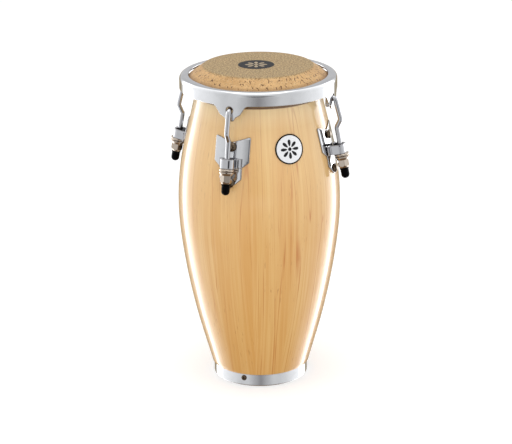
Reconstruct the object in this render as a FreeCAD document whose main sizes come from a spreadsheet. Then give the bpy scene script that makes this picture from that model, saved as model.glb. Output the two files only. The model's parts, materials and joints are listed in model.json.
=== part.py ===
import FreeCAD
import Part
import math
import os
import Sketcher
from FreeCAD import Placement, Rotation, Vector

# Stave-built conga drum, standing on its foot ring.
# Millimetres, +Z up, origin at the centre of the foot ring's underside, badge towards -Y.
# A lug frame has +X pointing radially outwards at the lug's azimuth, +Y sideways, +Z up.
# An azimuth is measured from -Y towards +X, in degrees.

doc = FreeCAD.newDocument("conga_drum")

# ---------------------------------------------------------------- driving dimensions

DIMENSIONS = [
    ("stave_count", 12, "staves round the shell"),
    ("wall", 8.0, "stave thickness, measured level"),
    ("foot_radius", 56.5, "shell's outer line at the floor"),
    ("lower_bend_radius", 90.5, "corner of the outer line below the belly"),
    ("lower_bend_height", 121.1, "height of that corner"),
    ("lower_bend_curve", 838.0, "radius that rounds it"),
    ("upper_bend_radius", 104.9, "corner of the outer line above the belly"),
    ("upper_bend_height", 249.4, "height of that corner"),
    ("upper_bend_curve", 342.0, "radius that rounds it"),
    ("top_radius", 70.0, "shell's outer line near the bearing edge"),
    ("top_height", 395.0, "height of that point"),
    ("crest_circle", 65.0, "radius of the circle that the bearing edge's crest follows"),
    ("crest_round", 3.0, "outer rounding of the crest"),
    ("crest_inner_round", 1.5, "inner rounding of the crest"),
    ("crest_bevel", 3.0, "height of the crest's inner bevel"),
    ("head_height", 400.0, "playing surface above the floor"),
    ("skin", 1.5, "skin thickness"),
    ("skin_gap", 0.2, "skin to bearing edge"),
    ("collar_angle", 36.0, "slope of the collar below level"),
    ("hoop_radius", 83.2, "flesh hoop, centre line"),
    ("hoop_wire", 3.0, "flesh hoop, wire radius"),
    ("hoop_gap", 0.3, "flesh hoop to the skin tucked round it"),
    ("tuck", 1.5, "how far the tucked skin runs in past the hoop's centre line"),
    ("wrap_ease", 0.2, "how much tighter the wrap's lower bend is, so that a short flat stays between"),
    ("ring_radius", 59.0, "foot ring, outside"),
    ("ring_sheet", 1.6, "foot ring, sheet thickness"),
    ("ring_height", 16.0, "foot ring, height"),
    ("ring_flange_radius", 50.0, "foot ring, inner edge of its flange"),
    ("ring_gap", 0.1, "foot ring to wood"),
    ("ring_edge", 0.6, "foot ring, edge rounding"),
    ("ring_corner", 1.4, "foot ring, lower corner rounding"),
    ("ring_screw_count", 3, "foot ring screws, evenly spaced from the front left lug"),
    ("ring_screw_height", 10.6, "foot ring screws above the floor"),
    ("ring_screw_shank", 1.7, "shank radius"),
    ("ring_screw_hole", 1.8, "clearance radius for the shank"),
    ("ring_screw_reach", 6.6, "shank length under the head"),
    ("ring_screw_head", 3.5, "head radius"),
    ("ring_screw_dome", 1.8, "head height"),
    ("ring_screw_dome_round", 1.44, "head's edge rounding"),
    ("ring_screw_tip_round", 0.5, "shank's end rounding"),
    ("rim_radius", 96.3, "rim, outside"),
    ("rim_top", 389.6, "rim, top face"),
    ("rim_sheet", 2.4, "rim, sheet thickness"),
    ("rim_round", 5.6, "rim, outer shoulder rounding"),
    ("rim_inner_round", 3.2, "rim, inner shoulder rounding"),
    ("rim_lip_radius", 84.9, "rim, inner edge of its top"),
    ("rim_lip_round", 0.9, "rim, lip rounding"),
    ("rim_edge", 372.0, "rim, lower edge between the ears"),
    ("ear_root", 19.5, "ear half width at the rim's lower edge"),
    ("ear_root_round", 6.0, "hollow rounding where the ear leaves the rim"),
    ("ear_waist", 12.6, "ear half width at its shoulder"),
    ("ear_waist_height", 361.2, "height of that shoulder"),
    ("ear_neck", 7.0, "ear half width above its tip"),
    ("ear_neck_height", 357.9, "height of that neck"),
    ("ear_shoulder_round", 2.0, "rounding of shoulder and neck"),
    ("ear_tip", 353.4, "ear, lowest point"),
    ("ear_tip_width", 4.6, "ear tip half width before rounding"),
    ("ear_tip_round", 3.8, "ear tip rounding"),
    ("ear_hole", 4.4, "ear hole radius"),
    ("ear_hole_height", 367.2, "ear hole centre height"),
    ("lug_tilt", 11.0, "lean of the lug's plane from upright"),
    ("lug_face", 94.4, "lug plane's radius at lug_height"),
    ("lug_height", 300.0, "height at which lug_face is measured"),
    ("rod_standoff", 12.3, "rod axis to the lug plane"),
    ("rod", 3.0, "rod radius"),
    ("hook_inner_leg", 89.4, "radius of the hook's inner leg"),
    ("hook_inner_end", 355.0, "height of the hook's inner end"),
    ("hook_crown", 366.8, "height of the rod's centre line over the ear"),
    ("hook_shoulder", 98.7, "corner where the outer leg starts"),
    ("hook_bend", 5.2, "bend radius over the ear"),
    ("kink_radius", 105.9, "outermost corner of the outer leg"),
    ("kink_height", 340.4, "height of that corner"),
    ("jog_along", 28.2, "lug-plane position where the straight rod starts"),
    ("kink_bend", 5.0, "bend radius of kink and jog"),
    ("rod_end", -32.0, "lug-plane position of the rod's lower end"),
    ("cap_start", -22.4, "lug-plane position of the cap's mouth"),
    ("cap_length", 13.3, "end cap length"),
    ("cap_radius", 5.1, "end cap radius"),
    ("cap_end_round", 4.6, "end cap, rounding of its closed end"),
    ("cap_mouth", 5.5, "end cap radius at its mouth bead"),
    ("cap_bead", 2.2, "height of the mouth bead"),
    ("cap_bead_round", 0.45, "mouth bead rounding"),
    ("cap_stretch", 0.1, "how much the cap's bore is smaller than the rod"),
    ("strap_low", -4.0, "lug-plane position of the strap's lower edge"),
    ("strap_tall", 11.6, "strap width along the rod"),
    ("strap_sheet", 2.0, "strap thickness"),
    ("strap_half", 8.4, "strap loop, half width outside"),
    ("strap_reach", 18.4, "strap loop, lug plane to its outer face"),
    ("strap_round", 6.4, "strap loop, outer corner rounding"),
    ("strap_foot", 14.0, "strap foot, half width over both feet"),
    ("strap_foot_lift", 0.1, "underside of the feet above the lug plane"),
    ("strap_foot_round", 3.0, "bend between foot and loop, outside"),
    ("washer_radius", 9.2, "tension washer radius"),
    ("washer_thick", 3.2, "tension washer thickness"),
    ("washer_round", 1.4, "tension washer edge rounding"),
    ("washer_hole", 3.3, "tension washer hole radius"),
    ("seat_gap", 0.1, "face to face clearance under the strap"),
    ("nut_top", -7.5, "lug-plane position of the nut's flange face"),
    ("nut_tall", 14.5, "tension nut height"),
    ("nut_flange", 8.8, "tension nut flange radius"),
    ("nut_flange_thick", 1.6, "tension nut flange thickness"),
    ("nut_corner", 7.3, "tension nut radius over the hexagon's corners"),
    ("nut_cone", 4.4, "distance from flange face to the hexagon"),
    ("nut_end", 5.4, "tension nut end radius"),
    ("nut_end_chamfer", 3.2, "tension nut end chamfer length"),
    ("nut_edge_round", 0.5, "tension nut, rounding of flange and end"),
    ("nut_cone_round", 0.8, "tension nut, rounding where the cone meets the hexagon"),
    ("nut_corner_round", 1.5, "tension nut, rounding where the end chamfer starts"),
    ("nut_flats", 12.8, "tension nut across flats"),
    ("nut_bore", 3.05, "tension nut bore radius"),
    ("plate_gap", 0.2, "side plate to wood, measured level"),
    ("plate_sheet", 1.6, "side plate thickness, measured level"),
    ("plate_half", 22.0, "side plate half width"),
    ("plate_corner_up", 34.5, "side plate upper corners, along the lug plane"),
    ("plate_notch_up", 26.6, "bottom of the side plate's upper notch"),
    ("plate_side_down", 3.4, "where the straight sides end"),
    ("plate_tongue", 14.0, "side plate tongue half width"),
    ("plate_tongue_up", -3.6, "where the tongue starts"),
    ("plate_tongue_down", -17.0, "where the tongue's sides end"),
    ("plate_tip", -29.5, "side plate tip"),
    ("plate_round", 1.6, "side plate corner rounding"),
    ("plate_tongue_round", 3.2, "rounding of the tongue's lower corners"),
    ("plate_drill_start", -3.2, "where the cutter of a side plate's bolt hole starts, off the lug plane"),
    ("plate_drill_length", 12.8, "length of that cutter"),
    ("trim_half", 100.0, "frame that trims a bent sheet, half width"),
    ("trim_up", 100.0, "frame that trims a bent sheet, above its outline's centre"),
    ("trim_down", 400.0, "frame that trims a bent sheet, below its outline's centre"),
    ("bolt_up", 21.0, "upper plate bolt, along the lug plane"),
    ("bolt_down", -22.0, "lower plate bolt, along the lug plane"),
    ("bolt", 2.9, "plate bolt shank radius"),
    ("bolt_hole", 3.2, "plate bolt hole radius"),
    ("bolt_head", 5.75, "plate bolt head radius"),
    ("bolt_dome", 3.0, "plate bolt head height"),
    ("bolt_rim", 0.75, "height of the bolt head's upright edge"),
    ("bolt_rim_round", 0.5, "rounding above that edge"),
    ("bolt_crown", 3.16, "bolt head radius where its crown starts"),
    ("bolt_crown_round", 3.45, "rounding of the crown"),
    ("bolt_tip_round", 0.6, "plate bolt end rounding"),
    ("bolt_head_lift", 0.45, "underside of the bolt head above the lug plane"),
    ("bolt_end", -20.0, "plate bolt end, behind the lug plane"),
    ("inner_washer", 7.0, "inner washer radius"),
    ("inner_washer_at", -11.0, "inner washer's outer face, behind the lug plane"),
    ("inner_washer_thick", 1.5, "inner washer thickness"),
    ("inner_washer_round", 0.3, "inner washer edge rounding"),
    ("inner_nut_flats", 10.0, "inner nut across flats"),
    ("inner_nut_tall", 4.8, "inner nut height"),
    ("badge_radius", 18.0, "badge radius"),
    ("badge_height", 317.4, "badge centre height"),
    ("badge_tilt", 13.4, "badge lean"),
    ("badge_sheet", 1.4, "badge thickness, measured level"),
]

sheet = doc.addObject("Spreadsheet::Sheet", "Size")
for row, (alias, amount, note) in enumerate(DIMENSIONS, start=1):
    sheet.set(f"A{row}", alias)
    sheet.set(f"B{row}", str(amount))
    sheet.setAlias(f"B{row}", alias)
    sheet.set(f"C{row}", note)
doc.recompute()

LUGS = {"front_left": -45, "front_right": 45, "back_right": 135, "back_left": -135}
# widths of the turned sheets that a side plate and the badge are trimmed from, in degrees
PLATE_SECTOR = 36
BADGE_SECTOR = 30
# a cutter runs this many times as far as the material that it goes through
PAST = 2
# lengths and angles smaller than this count as zero
ZERO = 1e-6
SIDEWAYS = Rotation(Vector(0, 1, 0), 90)


def number(expression):
    """Value of a sheet expression, or of a plain number."""
    if isinstance(expression, (int, float)):
        return float(expression)
    found = sheet.evalExpression(expression)
    return float(getattr(found, "Value", found))


def size(alias):
    """Value of one driving dimension."""
    return number(f"Size.{alias}")


# ---------------------------------------------------------------- sketch helpers


def corner_frame(before, corner, after, radius):
    """Tangent points, centre and turn of the arc that rounds a corner."""
    back = (before - corner).normalize()
    ahead = (after - corner).normalize()
    half = back.getAngle(ahead) / 2
    reach = radius / math.tan(half)
    centre = corner + (back + ahead).normalize() * (radius / math.sin(half))
    turns_left = back.cross(ahead).z < 0
    return corner + back * reach, corner + ahead * reach, centre, turns_left


def draw_path(sketch, corners, closed=True):
    """Straight runs through corners (x, y, radius), with tangent arcs where a radius is given.

    Each coordinate and radius is an expression, and stays bound to the sheet.
    """
    points = [Vector(number(c[0]), number(c[1]), 0) for c in corners]
    radii = [number(c[2]) if len(c) > 2 else 0.0 for c in corners]
    count = len(points)
    rounded = [radii[i] > 0 and (closed or 0 < i < count - 1) for i in range(count)]
    frames = {}
    for i in range(count):
        if rounded[i]:
            frames[i] = corner_frame(points[i - 1], points[i], points[(i + 1) % count], radii[i])
    first = sketch.GeometryCount
    runs = count if closed else count - 1
    geometry = []
    for i in range(runs):
        after = (i + 1) % count
        start = frames[i][1] if rounded[i] else points[i]
        end = frames[after][0] if rounded[after] else points[after]
        geometry.append(Part.LineSegment(start, end))
    arc_of = {}
    for i, (tangent_in, tangent_out, centre, turns_left) in frames.items():
        start, end = (tangent_in, tangent_out) if turns_left else (tangent_out, tangent_in)
        angles = [math.atan2(p.y - centre.y, p.x - centre.x) for p in (start, end)]
        circle = Part.Circle(centre, Vector(0, 0, 1), radii[i])
        arc_of[i] = first + len(geometry)
        geometry.append(Part.ArcOfCircle(circle, angles[0], angles[1]))
    sketch.addGeometry(geometry, False)
    bindings = []
    constraints = []

    def bind(kind, element, vertex, expression):
        """Fix one coordinate of a point, or put it on the axis where it is zero."""
        amount = number(expression)
        if abs(amount) < ZERO:
            axis = -2 if kind == "DistanceX" else -1
            constraints.append(Sketcher.Constraint("PointOnObject", element, vertex, axis))
            return
        constraints.append(Sketcher.Constraint(kind, -1, 1, element, vertex, amount))
        if isinstance(expression, str):
            bindings.append((len(constraints) - 1, expression))

    for i in range(count):
        run_in = first + (i - 1) % count
        run_out = first + i
        if not rounded[i]:
            if closed or 0 < i < count - 1:
                constraints.append(Sketcher.Constraint("Coincident", run_in, 2, run_out, 1))
            at_end = not closed and i == count - 1
            holder = (run_in, 2) if at_end else (run_out, 1)
            bind("DistanceX", *holder, corners[i][0])
            bind("DistanceY", *holder, corners[i][1])
            continue
        arc = arc_of[i]
        ends = (1, 2) if frames[i][3] else (2, 1)
        constraints.append(Sketcher.Constraint("Tangent", run_in, 2, arc, ends[0]))
        constraints.append(Sketcher.Constraint("Tangent", arc, ends[1], run_out, 1))
        constraints.append(Sketcher.Constraint("Radius", arc, radii[i]))
        bindings.append((len(constraints) - 1, str(corners[i][2])))
        mark = sketch.addGeometry(Part.Point(points[i]), True)
        bind("DistanceX", mark, 1, corners[i][0])
        bind("DistanceY", mark, 1, corners[i][1])
        constraints.append(Sketcher.Constraint("PointOnObject", mark, 1, run_in))
        constraints.append(Sketcher.Constraint("PointOnObject", mark, 1, run_out))
    base = sketch.ConstraintCount
    sketch.addConstraint(constraints)
    for index, expression in bindings:
        sketch.setExpression(f"Constraints[{base + index}]", expression)


def draw_circle(sketch, x, y, radius):
    """Circle with its centre and radius bound to the sheet."""
    centre = Vector(number(x), number(y), 0)
    circle = sketch.addGeometry(Part.Circle(centre, Vector(0, 0, 1), number(radius)), False)
    for kind, expression in (("DistanceX", x), ("DistanceY", y)):
        if abs(number(expression)) < ZERO:
            axis = -2 if kind == "DistanceX" else -1
            sketch.addConstraint(Sketcher.Constraint("PointOnObject", circle, 3, axis))
            continue
        amount = number(expression)
        index = sketch.addConstraint(Sketcher.Constraint(kind, -1, 1, circle, 3, amount))
        sketch.setExpression(f"Constraints[{index}]", expression)
    index = sketch.addConstraint(Sketcher.Constraint("Radius", circle, number(radius)))
    sketch.setExpression(f"Constraints[{index}]", radius)


def draw_hexagon(sketch, flats):
    """Regular hexagon about the sketch's origin, by its width across flats."""
    corner = f"{flats} / 2 / cos(30)"
    spots = [(f"{corner} * cos({60 * k})", f"{corner} * sin({60 * k})") for k in range(6)]
    draw_path(sketch, spots)


def new_body(name):
    """Empty body whose label names its node."""
    body = doc.addObject("PartDesign::Body", name)
    body.Label = name
    return body


def new_sketch(body, plane, name, offset=None):
    """Sketch on one of the body's own origin planes."""
    sketch = body.newObject("Sketcher::SketchObject", name)
    support = [f for f in body.Origin.OriginFeatures if f.Role == plane][0]
    sketch.AttachmentSupport = (support, [""])
    sketch.MapMode = "FlatFace"
    if offset is not None:
        sketch.AttachmentOffset = offset
    doc.recompute()
    return sketch


def revolve(body, sketch, angle=360.0):
    """Turn a section on the XZ plane about the body's Z axis, half to each side."""
    turned = body.newObject("PartDesign::Revolution", f"{body.Name}_turned")
    turned.Profile = sketch
    turned.ReferenceAxis = (sketch, ["V_Axis"])
    turned.Angle = angle
    turned.Midplane = True
    sketch.Visibility = False
    doc.recompute()
    return turned


def turned_body(name, corners, angle=360.0):
    """Body made by turning one rounded section."""
    body = new_body(name)
    sketch = new_sketch(body, "XZ_Plane", f"{name}_section")
    draw_path(sketch, corners)
    revolve(body, sketch, angle)
    return body


def drill(body, name, radius, depth, placement):
    """Cut a round hole whose axis is the placement's +Z."""
    before = body.Shape.Volume
    hole = body.newObject("PartDesign::SubtractiveCylinder", name)
    hole.Placement = placement
    hole.setExpression("Radius", radius)
    hole.setExpression("Height", depth)
    doc.recompute()
    if body.Shape.Volume >= before:
        raise RuntimeError(f"{name} removed nothing")
    return hole


def trim_outside(body, sketch):
    """Cut away what lies outside the sketch's outline, inside a far larger frame."""
    half, low, high = "Size.trim_half", "-Size.trim_down", "Size.trim_up"
    draw_path(sketch, [(f"-{half}", low), (half, low), (half, high), (f"-{half}", high)])
    before = body.Shape.Volume
    cut = body.newObject("PartDesign::Pocket", f"{body.Name}_trim")
    cut.Profile = sketch
    cut.Type = "Length"
    cut.Midplane = True
    cut.Length = size("head_height")
    sketch.Visibility = False
    doc.recompute()
    if body.Shape.Volume >= before:
        raise RuntimeError(f"{body.Name} was not trimmed")
    return cut


def upright(azimuth):
    """Placement of a lug frame."""
    return Placement(Vector(0, 0, 0), Rotation(Vector(0, 0, 1), azimuth - 90))


def on_lug(out, along, axis):
    """Placement in a lug frame at a place on the lug plane, with +Z along 'rod' or 'bolt'."""
    tilt = math.radians(size("lug_tilt"))
    radius = size("lug_face") + out * math.cos(tilt) - along * math.sin(tilt)
    height = size("lug_height") + out * math.sin(tilt) + along * math.cos(tilt)
    turn = -size("lug_tilt") if axis == "rod" else 90 - size("lug_tilt")
    return Placement(Vector(radius, 0, height), Rotation(Vector(0, 1, 0), turn))


# ---------------------------------------------------------------- lines of the shell

TOP_SLOPE = (
    "((Size.top_radius - Size.upper_bend_radius)"
    " / (Size.top_height - Size.upper_bend_height))"
)
FOOT_SLOPE = "((Size.lower_bend_radius - Size.foot_radius) / Size.lower_bend_height)"
WOOD_FOOT = "(Size.ring_sheet + Size.ring_gap)"
REBATE_TOP = "(Size.ring_height + 2 * Size.ring_gap)"
REBATE_RADIUS = "(Size.ring_radius - Size.ring_sheet - Size.ring_gap)"
CREST_TOP = "(Size.head_height - Size.skin - Size.skin_gap)"
CREST_CORNER = "(Size.crest_circle + Size.crest_round * tan(Size.collar_angle / 2))"
BEVEL_TOP = f"({CREST_TOP} - Size.crest_bevel)"


def shell_corners(offset):
    """The two rounded corners of the shell's outer line, moved outwards by offset."""
    return [
        (f"Size.lower_bend_radius + {offset}", "Size.lower_bend_height", "Size.lower_bend_curve"),
        (f"Size.upper_bend_radius + {offset}", "Size.upper_bend_height", "Size.upper_bend_curve"),
    ]


def foot_line(height, offset):
    """Radius of the line below the belly."""
    return f"Size.foot_radius + {FOOT_SLOPE} * {height} + {offset}"


def top_line(height, offset):
    """Radius of the line above the belly."""
    return f"Size.upper_bend_radius + {TOP_SLOPE} * ({height} - Size.upper_bend_height) + {offset}"


SHOULDER_HEIGHT = (
    f"(({CREST_TOP} - (Size.upper_bend_radius - {TOP_SLOPE} * Size.upper_bend_height"
    f" - {CREST_CORNER}) * tan(Size.collar_angle)) / (1 + {TOP_SLOPE} * tan(Size.collar_angle)))"
)


def stave_section():
    """Wall section: foot rebate, barrel curve, bevelled bearing edge."""
    inner = "(-Size.wall)"
    inner_low, inner_high = shell_corners(inner)
    crest_inner = "Size.crest_circle - Size.crest_inner_round"
    return [
        (foot_line(WOOD_FOOT, inner), WOOD_FOOT),
        (REBATE_RADIUS, WOOD_FOOT),
        (REBATE_RADIUS, REBATE_TOP),
        (foot_line(REBATE_TOP, "0"), REBATE_TOP, "Size.ring_edge"),
        *shell_corners("0"),
        (top_line(SHOULDER_HEIGHT, "0"), SHOULDER_HEIGHT),
        (CREST_CORNER, CREST_TOP, "Size.crest_round"),
        (crest_inner, CREST_TOP, "Size.crest_inner_round"),
        (top_line(BEVEL_TOP, inner), BEVEL_TOP),
        inner_high,
        inner_low,
    ]


def screw_azimuths():
    """Azimuths of the foot ring screws."""
    count = int(size("ring_screw_count"))
    return [LUGS["front_left"] + 360 * k / count for k in range(count)]


def lies_on(azimuth, others):
    """True where an azimuth is one of several."""
    return any(abs((azimuth - other) % 360) < ZERO for other in others)


def make_staves():
    """Glued staves; those under a lug are drilled for its two bolts, and three for a foot ring screw."""
    count = int(size("stave_count"))
    step = 360 / count
    staves = []
    for index in range(count):
        azimuth = (index + 0.5) * step
        name = f"stave_{index + 1:02d}"
        body = turned_body(name, stave_section(), step)
        if lies_on(azimuth, LUGS.values()):
            for along in ("bolt_up", "bolt_down"):
                start = on_lug(size("bolt_end"), size(along), "bolt")
                drill(body, f"{name}_{along}", "Size.bolt_hole", "-Size.bolt_end", start)
        if lies_on(azimuth, screw_azimuths()):
            reach = size("ring_radius") - size("ring_screw_reach") - size("ring_gap")
            start = Placement(Vector(reach, 0, size("ring_screw_height")), SIDEWAYS)
            deep = f"{PAST} * Size.ring_screw_reach"
            drill(body, f"{name}_screw", "Size.ring_screw_hole", deep, start)
        body.Placement = upright(azimuth)
        staves.append(body)
    return staves


def make_foot_ring():
    """Rolled ring round the shell's foot, with a flange turned in under the wood."""
    wall = "Size.ring_radius - Size.ring_sheet"
    ring = turned_body("bottom_ring", [
        ("Size.ring_flange_radius", 0, "Size.ring_edge"),
        ("Size.ring_radius", 0, "Size.ring_corner"),
        ("Size.ring_radius", "Size.ring_height", "Size.ring_edge"),
        (wall, "Size.ring_height", "Size.ring_edge"),
        (wall, "Size.ring_sheet"),
        ("Size.ring_flange_radius", "Size.ring_sheet", "Size.ring_edge"),
    ])
    deep = f"{PAST} * (Size.ring_radius - Size.ring_flange_radius)"
    inside = Placement(Vector(size("ring_flange_radius"), 0, size("ring_screw_height")), SIDEWAYS)
    for place, azimuth in enumerate(screw_azimuths(), start=1):
        drill(ring, f"ring_hole_{place}", "Size.ring_screw_hole", deep, upright(azimuth) * inside)
    return ring


def make_ring_screw(name, azimuth):
    """Pan head screw; +Z points out of its head."""
    body = turned_body(name, [
        (0, "-Size.ring_screw_reach"),
        ("Size.ring_screw_shank", "-Size.ring_screw_reach", "Size.ring_screw_tip_round"),
        ("Size.ring_screw_shank", 0),
        ("Size.ring_screw_head", 0),
        ("Size.ring_screw_head", "Size.ring_screw_dome", "Size.ring_screw_dome_round"),
        (0, "Size.ring_screw_dome"),
    ])
    seat = Placement(Vector(size("ring_radius"), 0, size("ring_screw_height")), SIDEWAYS)
    body.Placement = upright(azimuth) * seat
    return body


# ---------------------------------------------------------------- head, hoop and rim

SKIN_ROUND = "(Size.crest_round + Size.skin_gap + Size.skin)"
SKIN_INNER_ROUND = "(Size.crest_round + Size.skin_gap)"
WRAP = "(Size.hoop_wire + Size.hoop_gap + Size.skin)"
WRAP_INNER = "(Size.hoop_wire + Size.hoop_gap)"
SKIN_CORNER = f"(Size.crest_circle + {SKIN_ROUND} * tan(Size.collar_angle / 2))"
SKIN_INNER_CORNER = f"(Size.crest_circle + {SKIN_INNER_ROUND} * tan(Size.collar_angle / 2))"
HOOP_HEIGHT = (
    f"(Size.head_height - (Size.hoop_radius - {SKIN_CORNER}) * tan(Size.collar_angle)"
    f" - {WRAP} / cos(Size.collar_angle))"
)
EAR_SECTOR_HALF = f"(Size.rim_radius * {math.sqrt(0.5):.6f})"


def collar_height(radius, corner, top):
    """Height of the collar's straight slope at a radius."""
    return f"{top} - ({radius} - {corner}) * tan(Size.collar_angle)"


def make_head():
    """Skin: flat playing area, rounded crease, collar, and its edge tucked round the hoop."""
    outside = f"Size.hoop_radius + {WRAP}"
    inside = f"Size.hoop_radius + {WRAP_INNER}"
    under = f"{HOOP_HEIGHT} - {WRAP}"
    over = f"{HOOP_HEIGHT} - {WRAP_INNER}"
    end = "Size.hoop_radius - Size.tuck"
    inner_top = "(Size.head_height - Size.skin)"
    return turned_body("head_skin", [
        (0, inner_top),
        (SKIN_INNER_CORNER, inner_top, SKIN_INNER_ROUND),
        (inside, collar_height(inside, SKIN_INNER_CORNER, inner_top), WRAP_INNER),
        (inside, over, f"{WRAP_INNER} - Size.wrap_ease"),
        (end, over),
        (end, under),
        (outside, under, f"{WRAP} - Size.wrap_ease"),
        (outside, collar_height(outside, SKIN_CORNER, "Size.head_height"), WRAP),
        (SKIN_CORNER, "Size.head_height", SKIN_ROUND),
        (0, "Size.head_height"),
    ])


def make_hoop():
    """Round wire hoop inside the skin's tucked edge."""
    hoop = doc.addObject("Part::Torus", "flesh_hoop")
    hoop.Label = "flesh_hoop"
    hoop.setExpression("Radius1", "Size.hoop_radius")
    hoop.setExpression("Radius2", "Size.hoop_wire")
    hoop.Placement = Placement(Vector(0, 0, number(HOOP_HEIGHT)), Rotation())
    return hoop


def ear_outline():
    """The skirt's lower edge over a quarter of the rim, with one ear hanging from it."""
    right = [
        (EAR_SECTOR_HALF, "Size.rim_edge"),
        ("Size.ear_root", "Size.rim_edge", "Size.ear_root_round"),
        ("Size.ear_waist", "Size.ear_waist_height", "Size.ear_shoulder_round"),
        ("Size.ear_neck", "Size.ear_neck_height", "Size.ear_shoulder_round"),
        ("Size.ear_tip_width", "Size.ear_tip", "Size.ear_tip_round"),
    ]
    left = [(f"-({x})", y, *rest) for x, y, *rest in reversed(right)]
    return right + left


def make_rim():
    """Pressed crown: domed top with an inner lip, skirt, and four ears with round holes."""
    inside = "Size.rim_radius - Size.rim_sheet"
    under = "Size.rim_top - Size.rim_sheet"
    rim = turned_body("tension_rim", [
        ("Size.rim_radius", "Size.ear_tip"),
        ("Size.rim_radius", "Size.rim_top", "Size.rim_round"),
        ("Size.rim_lip_radius", "Size.rim_top", "Size.rim_lip_round"),
        ("Size.rim_lip_radius", under, "Size.rim_lip_round"),
        (inside, under, "Size.rim_inner_round"),
        (inside, "Size.ear_tip"),
    ])
    outward = Placement(Vector(0, 0, size("rim_radius")), Rotation())
    skirt = new_sketch(rim, "YZ_Plane", "ear_cut_outline", outward)
    below = "Size.ear_tip - Size.rim_sheet"
    draw_path(skirt, [(f"-{EAR_SECTOR_HALF}", below), (EAR_SECTOR_HALF, below), *ear_outline()])
    cut = rim.newObject("PartDesign::Pocket", "ear_cut")
    cut.Profile = skirt
    cut.Type = "Length"
    cut.Midplane = True
    cut.Length = size("rim_radius")
    doc.recompute()
    eye = new_sketch(rim, "YZ_Plane", "ear_hole_outline", outward)
    draw_circle(eye, 0, "Size.ear_hole_height", "Size.ear_hole")
    hole = rim.newObject("PartDesign::Pocket", "ear_hole")
    hole.Profile = eye
    hole.Type = "Length"
    hole.Midplane = True
    hole.Length = size("rim_radius")
    doc.recompute()
    once = rim.Shape.Volume
    spread = rim.newObject("PartDesign::PolarPattern", "four_ears")
    spread.Originals = [cut, hole]
    upward = [f for f in rim.Origin.OriginFeatures if f.Role == "Z_Axis"][0]
    spread.Axis = (upward, [""])
    spread.Angle = 360
    spread.Occurrences = len(LUGS)
    rim.Tip = spread
    doc.recompute()
    if rim.Shape.Volume >= once:
        raise RuntimeError("the ears were not repeated")
    rim.Placement = upright(min(LUGS.values()))
    return rim


# ---------------------------------------------------------------- tuning lugs

TILT = "Size.lug_tilt"


def lug_radius(out, along):
    """Radius of a place on the lug plane."""
    return f"Size.lug_face + {out} * cos({TILT}) - {along} * sin({TILT})"


def lug_level(out, along):
    """Height of a place on the lug plane."""
    return f"Size.lug_height + {out} * sin({TILT}) + {along} * cos({TILT})"


def make_hook(name, azimuth):
    """Bent rod: hooked over the ear, kinked out and back, then straight to its lower end."""
    body = new_body(name)
    spine = new_sketch(body, "XZ_Plane", f"{name}_spine")
    straight = ("Size.rod_standoff", "Size.jog_along")
    lowest = ("Size.rod_standoff", "Size.rod_end")
    draw_path(spine, [
        ("Size.hook_inner_leg", "Size.hook_inner_end"),
        ("Size.hook_inner_leg", "Size.hook_crown", "Size.hook_bend"),
        ("Size.hook_shoulder", "Size.hook_crown", "Size.hook_bend"),
        ("Size.kink_radius", "Size.kink_height", "Size.kink_bend"),
        (lug_radius(*straight), lug_level(*straight), "Size.kink_bend"),
        (lug_radius(*lowest), lug_level(*lowest)),
    ], closed=False)
    level = Placement(Vector(0, 0, size("hook_inner_end")), Rotation())
    section = new_sketch(body, "XY_Plane", f"{name}_section", level)
    section.setExpression("AttachmentOffset.Base.z", "Size.hook_inner_end")
    draw_circle(section, "Size.hook_inner_leg", 0, "Size.rod")
    pipe = body.newObject("PartDesign::AdditivePipe", f"{name}_rod")
    pipe.Profile = section
    pipe.Spine = spine
    spine.Visibility = False
    section.Visibility = False
    doc.recompute()
    body.Placement = upright(azimuth)
    return body


def make_cap(name, azimuth):
    """Rubber cap pushed onto the rod's end; +Z points up the rod, origin at its mouth."""
    bore = "Size.rod - Size.cap_stretch"
    depth = "Size.rod_end - Size.cap_start"
    body = turned_body(name, [
        (0, "-Size.cap_length"),
        ("Size.cap_radius", "-Size.cap_length", "Size.cap_end_round"),
        ("Size.cap_radius", "-Size.cap_bead"),
        ("Size.cap_mouth", "-Size.cap_bead / 2", "Size.cap_bead_round"),
        ("Size.cap_mouth", 0, "Size.cap_bead_round"),
        (bore, 0),
        (bore, depth),
        (0, depth),
    ])
    body.Placement = upright(azimuth) * on_lug(size("rod_standoff"), size("cap_start"), "rod")
    return body


def make_tension_nut(name, azimuth):
    """Flanged hexagon nut, flange up; +Z points up the rod, origin at the flange face."""
    cone = "-Size.nut_cone"
    chamfer = "Size.nut_end_chamfer - Size.nut_tall"
    body = turned_body(name, [
        ("Size.nut_bore", "-Size.nut_tall"),
        ("Size.nut_end", "-Size.nut_tall", "Size.nut_edge_round"),
        ("Size.nut_corner", chamfer, "Size.nut_corner_round"),
        ("Size.nut_corner", cone, "Size.nut_cone_round"),
        ("Size.nut_flange", "-Size.nut_flange_thick", "Size.nut_edge_round"),
        ("Size.nut_flange", 0, "Size.nut_edge_round"),
        ("Size.nut_bore", 0),
    ])
    below = Placement(Vector(0, 0, -size("nut_tall")), Rotation())
    faces = new_sketch(body, "XY_Plane", f"{name}_flats", below)
    faces.setExpression("AttachmentOffset.Base.z", "-Size.nut_tall")
    draw_hexagon(faces, "Size.nut_flats")
    draw_circle(faces, 0, 0, f"{PAST} * Size.nut_flange")
    before = body.Shape.Volume
    cut = body.newObject("PartDesign::Pocket", f"{name}_hexagon")
    cut.Profile = faces
    cut.Type = "Length"
    cut.Reversed = True
    cut.setExpression("Length", "Size.nut_tall - Size.nut_cone")
    doc.recompute()
    if body.Shape.Volume >= before:
        raise RuntimeError(f"{name} has no flats")
    body.Placement = upright(azimuth) * on_lug(size("rod_standoff"), size("nut_top"), "rod")
    return body


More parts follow.
